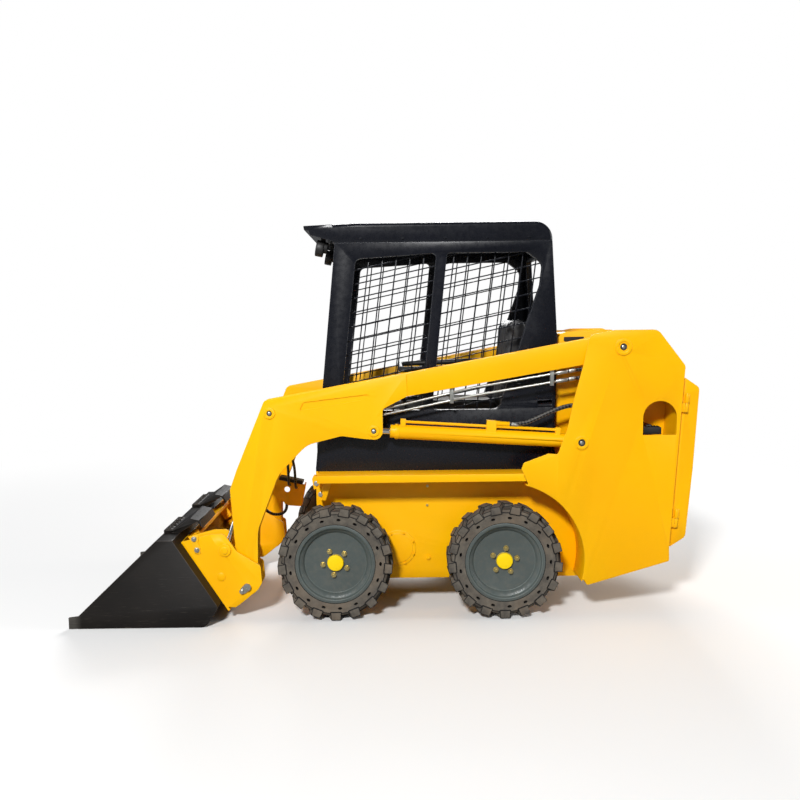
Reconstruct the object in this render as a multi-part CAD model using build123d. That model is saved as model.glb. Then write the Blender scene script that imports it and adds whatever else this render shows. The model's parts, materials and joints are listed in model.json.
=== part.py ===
from build123d import *
import os
from math import atan2, cos, degrees, hypot, radians, sin, sqrt

# Skid steer loader: chassis with two rear towers, cab, four wheels, lift boom, quick coupler and bucket.
# Millimetres. +X is forward (bucket), +Y the machine's left, +Z up; the origin is on the ground under the
# middle of the whole machine. Side pieces are drawn for the left (+Y) and mirrored in the XZ plane.

# ---------------------------------------------------------------- driving dimensions
# Fits
plate = 8.0                  # sheet of the chassis and the towers
seat_gap = 0.3               # between a seated piece and what carries it, on different bodies
side_gap = 5.0               # between pieces that pass each other
pin_radius = 18.0
pin_fit = 0.05               # radial running clearance

# Wheels
tyre_radius = 285.0          # to the tips of the lugs
tread_radius = 264.0         # floor between the lugs
lug_foot_radius = 242.0      # where a lug starts on the tyre's side
tyre_width = 145.0
tyre_shoulder = 15.0
lug_relief = 3.0             # the tyre's side lies inside the lugs' ends by this much
lug_count = 17               # on each shoulder
wheel_track = 959.0          # between the tyres' middles
front_axle_x = 244.0
rear_axle_x = -588.0
rim_radius = 195.0
rim_lip = 15.0
rim_dish_depth = 43.0        # the dish is set back from the tyre's side by this much
rim_sheet = 8.0
hub_cap_radius = 41.0
hub_flange_radius = 88.0
axle_radius = 30.0
axle_tube_radius = 60.0
axle_tube_length = 60.0

# Chassis
case_outer_y = 330.0         # outer face of the chain cases and the towers' inner plates
case_width = 80.0
chassis_front_x = 347.0
chassis_rear_x = -996.0
belly_z = 150.0
fender_top_z = 720.0
fender_outer_y = 530.0
fender_lip = 37.0
fender_sheet = 6.0
tower_outer_y = 532.0
tower_tail = (-1393.0, 278.0)    # lowest rear corner of the towers
tower_foot = (-1391.0, 344.0)    # where their straight rear edge starts
tower_shoulder = (-1442.0, 1110.0)
tower_top_z = 1408.0
arch_clearance = 105.0       # round the rear tyre
boom_pivot = (-1149.5, 1327.3)
lift_base = (-956.2, 868.3)
hood_front_x = -872.0

# Boom
arm_inner_y = 430.0
arm_outer_y = 510.0
arm_plate = 8.0
beam_step = 2.0              # the beam's plates lie inside the elbow's plates
arm_root_radius = 70.0
arm_tip_radius = 50.0
lift_eye = (46.6, 934.0)     # lift rod's pin on the arm
tilt_base = (550.0, 1026.0)  # tilt cylinder's pin on the arm
coupler_pivot = (678.7, 173.1)
tilt_eye = (785.0, 358.0)    # tilt rod's pin on the coupler
cross_tube = (672.0, 600.0)
cross_tube_radius = 38.0
oil_tube_radius = 6.0
oil_tube_y = 480.0
hose_radius = 9.0

# Cylinders
lift_barrel_radius = 35.0
lift_rod_radius = 18.0
lift_gland_to_eye = 80.0     # from the barrel's mouth to the middle of the rod's eye
lift_eye_radius = 32.0
tilt_barrel_radius = 27.0
tilt_rod_radius = 14.0
tilt_gland_to_eye = 208.0
tilt_eye_radius = 30.0
rod_eye_width = 50.0

# Bucket and coupler
bucket_half_width = 620.0
bucket_lip_x = 1533.0
bucket_top_x = 1096.0
bucket_heel_x = 870.0
bucket_plate = 10.0
bucket_side_plate = 12.0
bucket_back_foot = (806.0, 96.0)   # the bucket's back, which the coupler's face lies against
bucket_back_top = (1018.0, 431.0)
cutting_edge_depth = 100.0
cutting_edge_height = 18.0
hook_inner_y = 157.0
hook_outer_y = 463.0
coupler_plate = 12.0

# Cab
cab_half_width = 395.0
cab_wall = 40.0
cab_floor_z = 736.0
sill_z = 1023.0
roof_top_z = 1936.0
roof_depth = 93.0            # from the top down to the skirt
cab_rear_x = -852.0
visor_reach = 377.0
screen_rod = 5.0
screen_pitch = 67.0
lap_pivot = (-740.0, 1240.0)
lap_bar_radius = 14.0

# Rear door
door_half_width = 500.0
door_height = 832.0
door_depth = 90.0
door_sheet = 5.0
hinge_out = 26.0             # hinge axis behind the towers' edge
hinge_radius = 10.0
hinge_pin_radius = 5.0
hinge_length = 90.0
hinge_heights = (100.0, 668.0)

# ---------------------------------------------------------------- worked out from them
case_inner_y = case_outer_y - case_width
inner_plate_y = case_outer_y - plate
tower_inner_face = tower_outer_y - plate
case_top_z = fender_top_z - plate
axle_tube_end_y = case_outer_y + axle_tube_length
wheel_y = wheel_track / 2
arm_mid_y = (arm_inner_y + arm_outer_y) / 2
gap_inner_y = arm_inner_y + arm_plate
gap_outer_y = arm_outer_y - arm_plate
back_slope = (bucket_back_top[0] - bucket_back_foot[0]) / (bucket_back_top[1] - bucket_back_foot[1])
cab_inner_y = cab_half_width - cab_wall
roof_skirt_z = roof_top_z - roof_depth
window_top_z = roof_skirt_z - 54
visor_tip = (visor_reach, roof_top_z - 11)
hinge_y = door_half_width + 12
door_tilt = degrees(atan2(tower_foot[0] - tower_shoulder[0], tower_shoulder[1] - tower_foot[1]))
door_top_z = tower_foot[1] + door_height * cos(radians(door_tilt))
door_place = Pos(tower_foot[0], 0, tower_foot[1]) * Rot(0, -door_tilt, 0)


# ---------------------------------------------------------------- ways of making
def outline(rows):
    """Face in the XZ plane from rows of x, z and corner radius."""
    points = [(x, z) for x, z, radius in rows]
    radii = [radius for x, z, radius in rows]
    return make_face(Plane.XZ * FilletPolyline(*points, radius=radii, close=True))


def slab(rows, y0, y1):
    """Side outline made solid from y0 to y1."""
    return Pos(0, y0, 0) * extrude(outline(rows), amount=y1 - y0, dir=(0, 1, 0))


def block(x0, x1, y0, y1, z0, z1):
    """Box by its limits."""
    return Pos((x0 + x1) / 2, (y0 + y1) / 2, (z0 + z1) / 2) * Box(x1 - x0, y1 - y0, z1 - z0)


def disc(centre, radius, y0, y1):
    """Cylinder across the machine at an x, z centre."""
    return Pos(centre[0], (y0 + y1) / 2, centre[1]) * Rot(90, 0, 0) * Cylinder(radius, y1 - y0)


def bar(start, end, radius):
    """Round bar between two points."""
    a = Vector(*start)
    b = Vector(*end)
    return Solid.make_cylinder(radius, (b - a).length, Plane(origin=a, z_dir=b - a))


def pipe(points, bends, radius):
    """Tube along straight runs and tangent arcs."""
    path = FilletPolyline(*points, radius=bends)
    start = Plane(origin=path @ 0, z_dir=path % 0)
    return sweep(start * Circle(radius), path=path)


def mirrored(shape):
    return mirror(shape, about=Plane.XZ)


def save(node, *shapes):
    solids = []
    for shape in shapes:
        solids += shape.solids()
    whole = solids[0] if len(solids) == 1 else Compound(children=solids)
    whole.label = node
    export_step(whole, f"parts/{node}.step")


def save_pair(node, *shapes):
    """The left piece and its mirror image on the right."""
    save(node + "_left", *shapes)
    save(node + "_right", *[mirrored(shape) for shape in shapes])


os.makedirs("parts", exist_ok=True)


# ---------------------------------------------------------------- wheels
def make_tyre():
    """Solid rubber tyre on the origin, axle along Y: many-sided carcass with two rows of skewed lugs."""
    half = tyre_width / 2
    sides = 2 * lug_count
    side_y = half - lug_relief
    wide = Plane.XZ * RegularPolygon(tread_radius, sides)
    narrow = Plane.XZ * RegularPolygon(tread_radius - tyre_shoulder, sides)
    body = extrude(wide, amount=side_y - tyre_shoulder, both=True)
    for sign in (1, -1):
        inner_end = Pos(0, sign * (side_y - tyre_shoulder), 0) * wide
        outer_end = Pos(0, sign * side_y, 0) * narrow
        body += loft([inner_end.face(), outer_end.face()], ruled=True)
    pitch = 360 / lug_count
    foot_share, tip_share = 0.30, 0.225
    skew = 0.30
    overlap = 6
    reach = skew * (half + overlap)      # how far a lug's inner end is shifted round the tyre
    tip_angle = radians(tip_share * pitch)
    tip_radius = sqrt(tyre_radius**2 - (reach * cos(tip_angle))**2) - reach * sin(tip_angle)
    corners = [(lug_foot_radius, -foot_share), (tip_radius, -tip_share),
               (tip_radius, tip_share), (lug_foot_radius, foot_share)]
    points = [(r * cos(radians(share * pitch)), r * sin(radians(share * pitch))) for r, share in corners]
    lug_face = make_face(Plane.XZ * Polyline(*points, close=True))
    lugs = []
    for sign in (1, -1):
        lug = extrude(Pos(0, sign * half, 0) * lug_face, amount=(half + overlap) * hypot(1, skew),
                      dir=(0, -sign, skew))
        for k in range(lug_count):
            turn = (k + (0.25 if sign > 0 else 0.75)) * pitch
            lugs.append(Rot(0, turn, 0) * lug)
    return body + lugs - disc((0, 0), rim_radius + pin_fit, -half - 1, half + 1)


def make_rim():
    """Pressed steel rim: a band, a lip on the outside and a stepped dish set back from it."""
    half = tyre_width / 2
    dish = half - rim_dish_depth
    front = half - 4
    throat = rim_radius - rim_lip
    section = Polyline(
        (hub_cap_radius, dish - rim_sheet), (throat - 34, dish - rim_sheet),
        (throat - 12, front - 32), (throat, front - 30), (throat + 4, front - 20),
        (throat + 4, -half + 8), (rim_radius, -half + 8), (rim_radius, front), (throat, front),
        (throat - 6, front - 16), (throat - 20, front - 24), (throat - 28, dish),
        (hub_cap_radius, dish), close=True)
    return revolve(make_face(Plane.XY * section), axis=Axis.Y)


def make_hub():
    """Turning hub: axle flange behind the dish, its shaft and the cap through the dish."""
    dish = tyre_width / 2 - rim_dish_depth
    back = dish - rim_sheet
    flange = disc((0, 0), hub_flange_radius, back - 18, back)
    shaft = disc((0, 0), axle_radius, axle_tube_end_y + seat_gap - wheel_y, back)
    cap = disc((0, 0), hub_cap_radius, back, dish + 14)
    cap = chamfer(cap.edges().sort_by(Axis.Y)[-1], 4)
    return flange + shaft + cap


tyre = make_tyre()
rim = make_rim() + make_hub()
for place, axle_x in (("front", front_axle_x), ("rear", rear_axle_x)):
    left = Pos(axle_x, wheel_y, tyre_radius)
    save_pair(f"tyre_{place}", left * tyre)
    save_pair(f"rim_{place}", left * rim)

# ---------------------------------------------------------------- chassis
# Chain cases: closed boxes along both sides, with a round inspection cover between the wheels
chain_case = block(chassis_rear_x, chassis_front_x, case_inner_y, case_outer_y, belly_z, case_top_z)
cover_centre = (-65, 308)
chain_case += disc(cover_centre, 92, case_outer_y, case_outer_y + 4)
chain_case += disc(cover_centre, 76, case_outer_y, case_outer_y + 7)
save("chain_cases", chain_case, mirrored(chain_case))

axle_tubes = []
for axle_x in (front_axle_x, rear_axle_x):
    centre = (axle_x, tyre_radius)
    tube = disc(centre, axle_tube_radius, case_outer_y, axle_tube_end_y)
    tube += disc(centre, axle_tube_radius + 24, case_outer_y, case_outer_y + 12)
    axle_tubes += [tube, mirrored(tube)]
save("axle_tubes", *axle_tubes)

# Belly: flat pan, front wall, rising tail and the two rails under the engine
tail_x = tower_tail[0] + plate + 2
belly_flat = block(chassis_rear_x, chassis_front_x - plate, -case_inner_y, case_inner_y,
                   belly_z, belly_z + plate)
front_wall = block(chassis_front_x - plate, chassis_front_x, -case_inner_y, case_inner_y,
                   belly_z, case_top_z)
slope_rows = [(chassis_rear_x, belly_z, 0), (tail_x, tower_tail[1] + 2, 0),
              (tail_x, tower_tail[1] + 2 + plate, 0), (chassis_rear_x, belly_z + plate, 0)]
belly_slope = slab(slope_rows, -inner_plate_y, inner_plate_y)
engine_foot_z = 360
rail_rows = [(-1010, belly_z + 12, 0), (-1340, tower_tail[1] - 8, 0), (-1340, engine_foot_z, 0),
             (-1010, engine_foot_z, 0)]
rail = slab(rail_rows, 150, 200)
save("belly_pan", belly_flat + front_wall + belly_slope + rail + mirrored(rail))

engine = block(-1330, -1000, -210, 210, engine_foot_z, 900) + block(-1250, -1060, -150, 150, 900, 1060)
save("engine_block", engine)

# Fenders: ledge from the chain case out over the tyres, turned down at its edge, with a stay in front
nose_low = (-698, 674)
nose_high = (-667, 744)
nose_lean = (nose_high[0] - nose_low[0]) / (nose_high[1] - nose_low[1])
fender_front_x = chassis_front_x - 22
lip_bottom_z = fender_top_z - fender_lip
ledge = block(chassis_rear_x + 20, fender_front_x, case_outer_y, fender_outer_y - fender_sheet,
              case_top_z, fender_top_z)
lip_rows = [(nose_low[0] + (lip_bottom_z - nose_low[1]) * nose_lean + 2, lip_bottom_z, 0),
            (fender_front_x, lip_bottom_z, 0), (fender_front_x, fender_top_z, 0),
            (nose_low[0] + (fender_top_z - nose_low[1]) * nose_lean + 2, fender_top_z, 0)]
lip = slab(lip_rows, fender_outer_y - fender_sheet, fender_outer_y)
stay_rows = [(fender_front_x - 4, case_top_z, 0), (fender_front_x - 4, 650, 0), (fender_front_x - 20, 582, 0),
             (fender_front_x - 34, 582, 0), (fender_front_x - 76, case_top_z, 0)]
stay = slab(stay_rows, case_outer_y + 105, case_outer_y + 113)
stay += block(fender_front_x - 10, fender_front_x - 4, case_outer_y + 113, case_outer_y + 150, 642, case_top_z)
fender = ledge + lip + stay
save("fenders", fender, mirrored(fender))

# Towers: outer plate with an arched opening, inner plate, webs round the boom's pivot and the rear tyre
tower_rows = [
    (-1314, tower_top_z, 50), (-1449, 1234, 30), (*tower_shoulder, 0), (*tower_foot, 15),
    (*tower_tail, 10), (-990, 160, 12), (-979, 185, 0), (-640, 300, 0),
    (*nose_low, 0), (*nose_high, 8), (-678, 773, 8), (-797, 817, 15), (-842, 813, 10),
    (-889, 943, 0), (-917, 1081, 0), (-962, 1249, 0), (-990, 1385, 35), (-1110, tower_top_z, 0)]
arch_radius = tyre_radius + arch_clearance
arch = disc((rear_axle_x, tyre_radius), arch_radius, case_outer_y - 1, tower_outer_y + 1)
window_centre = (-1332, 985)
window_radius = 81
window_foot_z = 902
window = disc(window_centre, window_radius, tower_inner_face - 1, tower_outer_y + 1)
window += block(window_centre[0] - window_radius, window_centre[0] + window_radius,
                tower_inner_face - 1, tower_outer_y + 1, window_foot_z, window_centre[1])
outer_plate = slab(tower_rows, tower_inner_face, tower_outer_y) - arch - window
web_x = tower_tail[0] + 9    # the rear web's outer face, at its foot
inner_rows = [(-1314, tower_top_z - 7, 40), (-1440, 1230, 25), (-1433, 1110, 0), (-1383, 344, 0),
              (web_x, tower_tail[1], 0), (chassis_rear_x, 162, 0), (chassis_rear_x, fender_top_z, 0),
              (hood_front_x + 4, fender_top_z, 0), (hood_front_x + 4, tower_top_z - 7, 60)]
inner_plate = slab(inner_rows, inner_plate_y, case_outer_y)
rear_rows = [(-1440, 1225, 0), (-1433, 1110, 0), (-1382, 344, 0), (web_x, 282, 0),
             (web_x + plate, 280, 0), (-1374, 344, 0), (-1425, 1110, 0), (-1432, 1225, 0)]
top_rows = [(-1240, tower_top_z - 8, 0), (-1309, tower_top_z - 8, 0), (-1440, 1225, 0), (-1432, 1225, 0),
            (-1305, tower_top_z - 16, 0), (-1240, tower_top_z - 16, 0)]
bottom_rows = [(-988, 166, 0), (web_x + 1, 281, 0), (web_x + 1, 289.5, 0), (-988, 174, 0)]
webs = [slab(rows, case_outer_y, tower_inner_face) for rows in (rear_rows, top_rows, bottom_rows)]
arch_band = disc((rear_axle_x, tyre_radius), arch_radius + fender_sheet, case_outer_y, tower_inner_face)
arch_keep = slab([(-1010, 180, 0), (-760, 180, 0), (-690, 640, 0), (-690, case_top_z, 0),
                  (-1010, case_top_z, 0)], case_outer_y, tower_inner_face)
tower = outer_plate + inner_plate + webs + ((arch_band - arch) & arch_keep)
for centre, boss_radius in ((boom_pivot, 40), (lift_base, 33)):
    tower += disc(centre, boss_radius, tower_outer_y, tower_outer_y + 7)
    tower += disc(centre, pin_radius, case_outer_y, tower_inner_face)
    tower -= disc(centre, boss_radius - 15, tower_outer_y + 3, tower_outer_y + 8)

hinge_halves = []
for z in hinge_heights:
    middle = z + hinge_length / 2 - 0.5
    half = Pos(-hinge_out, hinge_y, (z + middle) / 2) * Cylinder(hinge_radius, middle - z)
    half += block(-hinge_out, 12, hinge_y - 6, hinge_y + 6, z, middle)
    half += Pos(-hinge_out, hinge_y, z + hinge_length / 2) * Cylinder(hinge_pin_radius, hinge_length)
    hinge_halves.append(door_place * half)
save("tower_left", tower + hinge_halves)
save("tower_right", mirrored(tower))

# Filler: neck on the left inner plate and its ribbed cap behind the tower's opening
cap_x, cap_z = -1306, 919
filler = disc((cap_x, cap_z), 24, case_outer_y, 445)
filler += block(cap_x - 43, cap_x + 43, 445, 500, cap_z - 18, cap_z + 16)
for rib in range(6):
    rib_x = cap_x - 38 + rib * 14
    filler += block(rib_x, rib_x + 6, 450, 495, cap_z + 16, cap_z + 20)
save("filler_cap", filler)

# Rear crossmember under the door, with two tie-down holes
bumper_out = 48
bumper_x = web_x + 1
tie_hole_radius = 14
tie_hole_y = 260
bumper_rows = [(bumper_x, 288, 0), (bumper_x - bumper_out - 9, 288, 10),
               (bumper_x - bumper_out - 9, 324, 10), (bumper_x, 324, 0)]
bumper = slab(bumper_rows, -inner_plate_y, inner_plate_y)
for hole_y in (-tie_hole_y, tie_hole_y):
    bumper -= Pos(bumper_x - 29, hole_y, 306) * Cylinder(tie_hole_radius, 60)
save("rear_crossmember", bumper)

# Hood over the engine, with louvre slots
hood_z = tower_top_z - 16
hood_drop = (-1424, 1236)
hood_rows = [(hood_front_x, hood_z, 0), (-1300, hood_z, 0), (-1330, hood_z - 20, 0), (*hood_drop, 8),
             (hood_drop[0], door_top_z - 50, 0), (hood_drop[0] + plate, door_top_z - 50, 0),
             (hood_drop[0] + plate, hood_drop[1] - 3, 0), (-1325, hood_z - 30, 0), (-1297, hood_z - 8, 0),
             (hood_front_x, hood_z - 8, 0)]
hood = slab(hood_rows, -inner_plate_y, inner_plate_y)
for row in range(7):
    slot_x = -1240 + row * 42
    hood -= block(slot_x, slot_x + 16, -190, 190, hood_z - 20, hood_z + 5)
save("engine_hood", hood)

# ---------------------------------------------------------------- rear door
door_rows = [(-8, 2, 0), (-15, 0, 0), (-84, 52, 28), (-door_depth, 390, 0),
             (-door_depth + 4, door_height - 42, 28), (-15, door_height, 0), (-8, door_height - 2, 0)]
inside_rows = [(-4, 8, 0), (-14, 7, 0), (-84 + door_sheet, 56, 24), (-door_depth + door_sheet, 390, 0),
               (-door_depth + 4 + door_sheet, door_height - 46, 24), (-14, door_height - 7, 0),
               (-4, door_height - 8, 0)]


def make_door():
    """Dished door upright on the origin: x = 0 at the towers' edge, z = 0 at its lower edge."""
    shell = slab(door_rows, -door_half_width, door_half_width)
    shell -= slab(inside_rows, -door_half_width + door_sheet, door_half_width - door_sheet)
    grille = []
    for row in range(9):
        z = 190 + row * 52
        grille.append(block(-door_depth - 2, -door_depth + 12, -260, 260, z, z + 26))
    shell -= grille
    for z in hinge_heights:
        top = z + hinge_length
        middle = z + hinge_length / 2 + 0.5
        knuckle = Pos(-hinge_out, hinge_y, (middle + top) / 2) * Cylinder(hinge_radius, top - middle)
        knuckle += block(-hinge_out - 14, -hinge_out + 3, door_half_width - 1, hinge_y, middle, top)
        knuckle -= Pos(-hinge_out, hinge_y, (middle + top) / 2) * Cylinder(
            hinge_pin_radius + pin_fit, hinge_length)
        shell += knuckle
    latch = block(-door_depth - 16, -door_depth + 3, -430, -330, 380, 400)
    latch += block(-door_depth - 6, -door_depth + 3, -410, -350, 365, 415)
    return shell + latch


save("rear_door", door_place * make_door())

# ---------------------------------------------------------------- cab
header_low_z = roof_skirt_z - 91
side_rows = [
    (341, fender_top_z, 0), (341, cab_floor_z, 0), (297, 1138, 0), (236, header_low_z, 0),
    (226, roof_skirt_z, 0),
    (-832, roof_skirt_z, 0), (-860, 1351, 0), (cab_rear_x, 1065, 0), (cab_rear_x, fender_top_z, 0)]
front_window = [(212, sill_z, 25), (127, window_top_z - 24, 30), (-268, window_top_z, 20),
                (-190, sill_z, 20)]
rear_window = [(-242, sill_z, 20), (-320, window_top_z, 20), (-711, window_top_z, 30),
               (-785, window_top_z - 57, 40), (-773, window_top_z - 160, 40), (-704, window_top_z - 358, 0),
               (-676, window_top_z - 455, 0), (-574, sill_z, 40)]
side_wall = slab(side_rows, cab_inner_y, cab_half_width)
for window_rows in (front_window, rear_window):
    side_wall -= slab(window_rows, cab_inner_y - 1, cab_half_width + 1)
for row in range(4):
    slot_z = sill_z + 6 + row * 13
    side_wall -= block(-835, -765, cab_half_width - 10, cab_half_width + 1, slot_z, slot_z + 6)
bar_y = cab_inner_y - 36
side_wall += disc(lap_pivot, 20, bar_y + lap_bar_radius + seat_gap, cab_inner_y)
save_pair("cab_side", side_wall)

# Roof with rounded rear, and a visor with two side gussets that shelters the work lamps
roof_front_x = 236
roof_under_z = roof_top_z - 43
roof_rows = [(roof_front_x, roof_skirt_z, 0), (-834, roof_skirt_z, 0), (-834, roof_top_z, 86),
             (120, roof_top_z, 0), (roof_front_x, roof_top_z - 5, 0)]
roof = slab(roof_rows, -cab_half_width, cab_half_width)
roof = fillet(roof.edges().filter_by(Axis.X).group_by(Axis.Z)[-1], 18)
visor_under = (visor_tip[0] - 4, visor_tip[1] - 20)
visor_under_slope = (visor_under[1] - roof_under_z) / (visor_under[0] - roof_front_x)
visor_rows = [(roof_front_x, roof_top_z - 5, 0), (*visor_tip, 4), (*visor_under, 0),
              (roof_front_x, roof_under_z, 0)]
gusset_rows = [(roof_front_x - 12, roof_under_z + 12, 0), (visor_tip[0] - 22, visor_tip[1] - 12, 0),
               (visor_under[0] - 27, visor_under[1] - 23, 0), (roof_front_x - 12, roof_skirt_z + 5, 0)]
roof += slab(visor_rows, -cab_half_width, cab_half_width)
gusset = slab(gusset_rows, cab_half_width - fender_sheet, cab_half_width)
roof += gusset + mirrored(gusset)
save("cab_roof", roof)

lamp_x, lamp_z, lamp_y = 288, roof_top_z - 114, 318
lamp_body = Pos(lamp_x + 14, lamp_y, lamp_z) * Rot(0, 78, 0) * Cylinder(40, 34)
lamp_body += Pos(lamp_x - 8, lamp_y, lamp_z + 4) * Rot(0, 78, 0) * Cylinder(28, 30)
under_visor = [roof_under_z - seat_gap + visor_under_slope * (x - roof_front_x)
               for x in (lamp_x - 14, lamp_x + 10)]
hanger_rows = [(lamp_x - 14, lamp_z + 20, 0), (lamp_x + 10, lamp_z + 20, 0),
               (lamp_x + 10, under_visor[1], 0), (lamp_x - 14, under_visor[0], 0)]
lamp_body += slab(hanger_rows, lamp_y - 6, lamp_y + 6)
save("work_lamps", lamp_body, mirrored(lamp_body))

rear_rows = [(-832, roof_skirt_z, 0), (-860, 1351, 0), (cab_rear_x, 1065, 0), (cab_rear_x, fender_top_z, 0),
             (cab_rear_x + 30, fender_top_z, 0), (cab_rear_x + 30, 1065, 0), (-830, 1351, 0),
             (-802, roof_skirt_z, 0)]
rear_panel = slab(rear_rows, -cab_inner_y, cab_inner_y)
rear_panel -= block(-900, -780, -270, 270, 1420, window_top_z - 9)
save("cab_rear", rear_panel)

# Floor with the toe panel, and the header over the entry
floor = block(cab_rear_x + 30, 341, -cab_inner_y, cab_inner_y, fender_top_z, cab_floor_z)
toe_rows = [(341, cab_floor_z, 0), (326, 880, 0), (302, 880, 0), (317, cab_floor_z, 0)]
save("cab_floor", floor + slab(toe_rows, -cab_inner_y, cab_inner_y))
header_rows = [(236, header_low_z, 0), (226, roof_skirt_z, 0), (196, roof_skirt_z, 0), (206, header_low_z, 0)]
save("cab_front_header", slab(header_rows, -cab_inner_y, cab_inner_y))


def make_screen(window_rows):
    """Guard screen on the wall's inner face: crossing rods, the uprights leaning back, cut round a window."""
    edge = outline(window_rows)
    keep = extrude(offset(edge, amount=12), amount=2 * screen_rod, dir=(0, 1, 0))
    box = edge.bounding_box()
    middle = ((box.min.X + box.max.X) / 2, (box.min.Z + box.max.Z) / 2)
    reach = hypot(box.max.X - box.min.X, box.max.Z - box.min.Z)
    count = int(reach / screen_pitch / 2)
    upright_lean, cross_rise = -7, 12
    rods = []
    for k in range(-count, count + 1):
        upright = Rot(0, upright_lean, 0) * Pos(k * screen_pitch, screen_rod * 1.5, 0) * Box(
            screen_rod, screen_rod, reach)
        cross = Rot(0, cross_rise, 0) * Pos(0, screen_rod / 2, k * screen_pitch) * Box(
            reach, screen_rod, screen_rod)
        for piece in (upright, cross):
            kept = (Pos(middle[0], 0, middle[1]) * piece) & keep
            if kept and kept.solids():
                rods.append(kept)
    return Pos(0, cab_inner_y - 2 * screen_rod, 0) * (rods[0] + rods[1:])


save_pair("guard_screen", *[make_screen(rows) for rows in (front_window, rear_window)])

# Seat: pan, and plain soft solids for its cushion and back
seat_z = 960
seat_front_x = -250
cushion_top_z = seat_z + 90
save("seat_base", block(seat_front_x - 450, seat_front_x, -230, 230, cab_floor_z, seat_z))
cushion = block(seat_front_x - 358, seat_front_x + 50, -215, 215, seat_z, cushion_top_z)
save("seat_cushion", fillet(cushion.edges().filter_by(Axis.Z), 40))
back_rows = [(seat_front_x - 446, seat_z, 0), (seat_front_x - 362, seat_z, 0),
             (seat_front_x - 362, cushion_top_z, 30), (seat_front_x - 400, cushion_top_z + 430, 35),
             (seat_front_x - 495, cushion_top_z + 430, 40)]
save("seat_back", slab(back_rows, -210, 210))

console_top_z = 1010
console_x = -120
console = block(-520, -60, 270, 335, cab_floor_z, console_top_z)
console += bar((console_x, 300, console_top_z - 10), (console_x + 30, 290, console_top_z + 100), 10)
console += Pos(console_x + 32, 290, console_top_z + 120) * Cylinder(20, 70)
save("control_consoles", console, mirrored(console))

bar_x, bar_z = lap_pivot
bar_tip_x = bar_x + 650
lap_bar = pipe([(bar_x, bar_y, bar_z), (bar_tip_x, bar_y, bar_z - 20),
                (bar_tip_x, -bar_y, bar_z - 20), (bar_x, -bar_y, bar_z)], [70, 70], lap_bar_radius)
eye = disc(lap_pivot, 24, bar_y - lap_bar_radius, bar_y + lap_bar_radius)
save("lap_bar", lap_bar + eye + mirrored(eye))

# ---------------------------------------------------------------- boom
root_x, root_z = boom_pivot
tip_x, tip_z = coupler_pivot
eye_x, eye_z = lift_eye
seam_x = -114
arm_rows = [
    (seam_x, 1211, 0), (574, 1089, 25), (595, 1040, 0), (672, 858, 0), (717, 752, 60),
    (753, 654, 40), (739, 418, 0), (730, 346, 40), (tip_x + arm_tip_radius, tip_z, 0),
    (tip_x - arm_tip_radius, tip_z, 0), (622, 450, 150), (512, 728, 150), (372, 870, 120),
    (203, 912, 60), (100, 897, 0), (eye_x - 44, eye_z - 46, 42), (eye_x - 44, 1040, 20), (seam_x, 1100, 0)]
beam_rows = [(root_x, root_z + arm_root_radius, 0), (seam_x, 1211, 0), (seam_x, 1100, 0),
             (root_x, root_z - 53.5, 0)]
core_rows = [
    (root_x, root_z + arm_root_radius - 5, 0), (570, 1083, 22), (590, 1038, 0), (668, 855, 0),
    (711, 752, 55), (744, 654, 30), (739, 600, 0), (722, 346, 0), (720, 235, 0), (640, 235, 0),
    (628, 450, 150), (517, 733, 150), (376, 876, 120), (205, 918, 0), (130, 990, 60), (seam_x, 1106, 60),
    (root_x, root_z - 48.5, 0)]
bay_rows = [
    (503, 1026, 36), (550, 1072, 36), (597, 1026, 30), (662, 858, 0), (702, 755, 40),
    (735, 655, 20), (742, 600, 0), (770, 600, 0), (770, 225, 0), (642, 225, 0), (636, 450, 140),
    (572, 640, 0), (503, 900, 0)]


def make_arm():
    """One arm: outline plates on a boxed core that is open at the front of the leg, and a slimmer beam."""
    arm = slab(core_rows, gap_inner_y, gap_outer_y) - slab(bay_rows, gap_inner_y, gap_outer_y)
    end_rows = [(720, 235, 0), (722, tip_z, 0), (636, tip_z, 0), (640, 235, 0)]
    arm += slab(end_rows, gap_inner_y, gap_outer_y)
    arm += disc(coupler_pivot, arm_tip_radius - 6, gap_inner_y, gap_outer_y)
    arm += disc(boom_pivot, arm_root_radius - 8, gap_inner_y, gap_outer_y)
    for y0, y1 in ((arm_inner_y, gap_inner_y), (gap_outer_y, arm_outer_y)):
        arm += slab(arm_rows, y0, y1)
        arm += disc(coupler_pivot, arm_tip_radius, y0, y1)
    for y0, y1 in ((arm_inner_y + beam_step, gap_inner_y), (gap_outer_y, arm_outer_y - beam_step)):
        arm += slab(beam_rows, y0, y1)
        arm += disc(boom_pivot, arm_root_radius, y0, y1)
    for centre in (boom_pivot, coupler_pivot):
        arm -= disc(centre, pin_radius + pin_fit, arm_inner_y - 1, arm_outer_y + 1)
    arm += disc(tilt_base, pin_radius, gap_inner_y, gap_outer_y)
    for centre in (lift_eye, tilt_base):
        arm += disc(centre, 27, arm_outer_y, arm_outer_y + 6)
        arm -= disc(centre, 14, arm_outer_y + 2, arm_outer_y + 7)
    return arm


save_pair("lift_arm", make_arm())
save("boom_cross_tube", disc(cross_tube, cross_tube_radius, -arm_inner_y, arm_inner_y))


# ---------------------------------------------------------------- cylinders
def along(start, end):
    """Place a piece drawn along +X from the origin on the line between two x, z points."""
    angle = degrees(atan2(end[1] - start[1], end[0] - start[0]))
    return Pos(start[0], arm_mid_y, start[1]) * Rot(0, -angle, 0)


def on_x(radius, x0, x1):
    """Cylinder along X between two places."""
    return Pos((x0 + x1) / 2, 0, 0) * Rot(0, 90, 0) * Cylinder(radius, x1 - x0)


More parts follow.
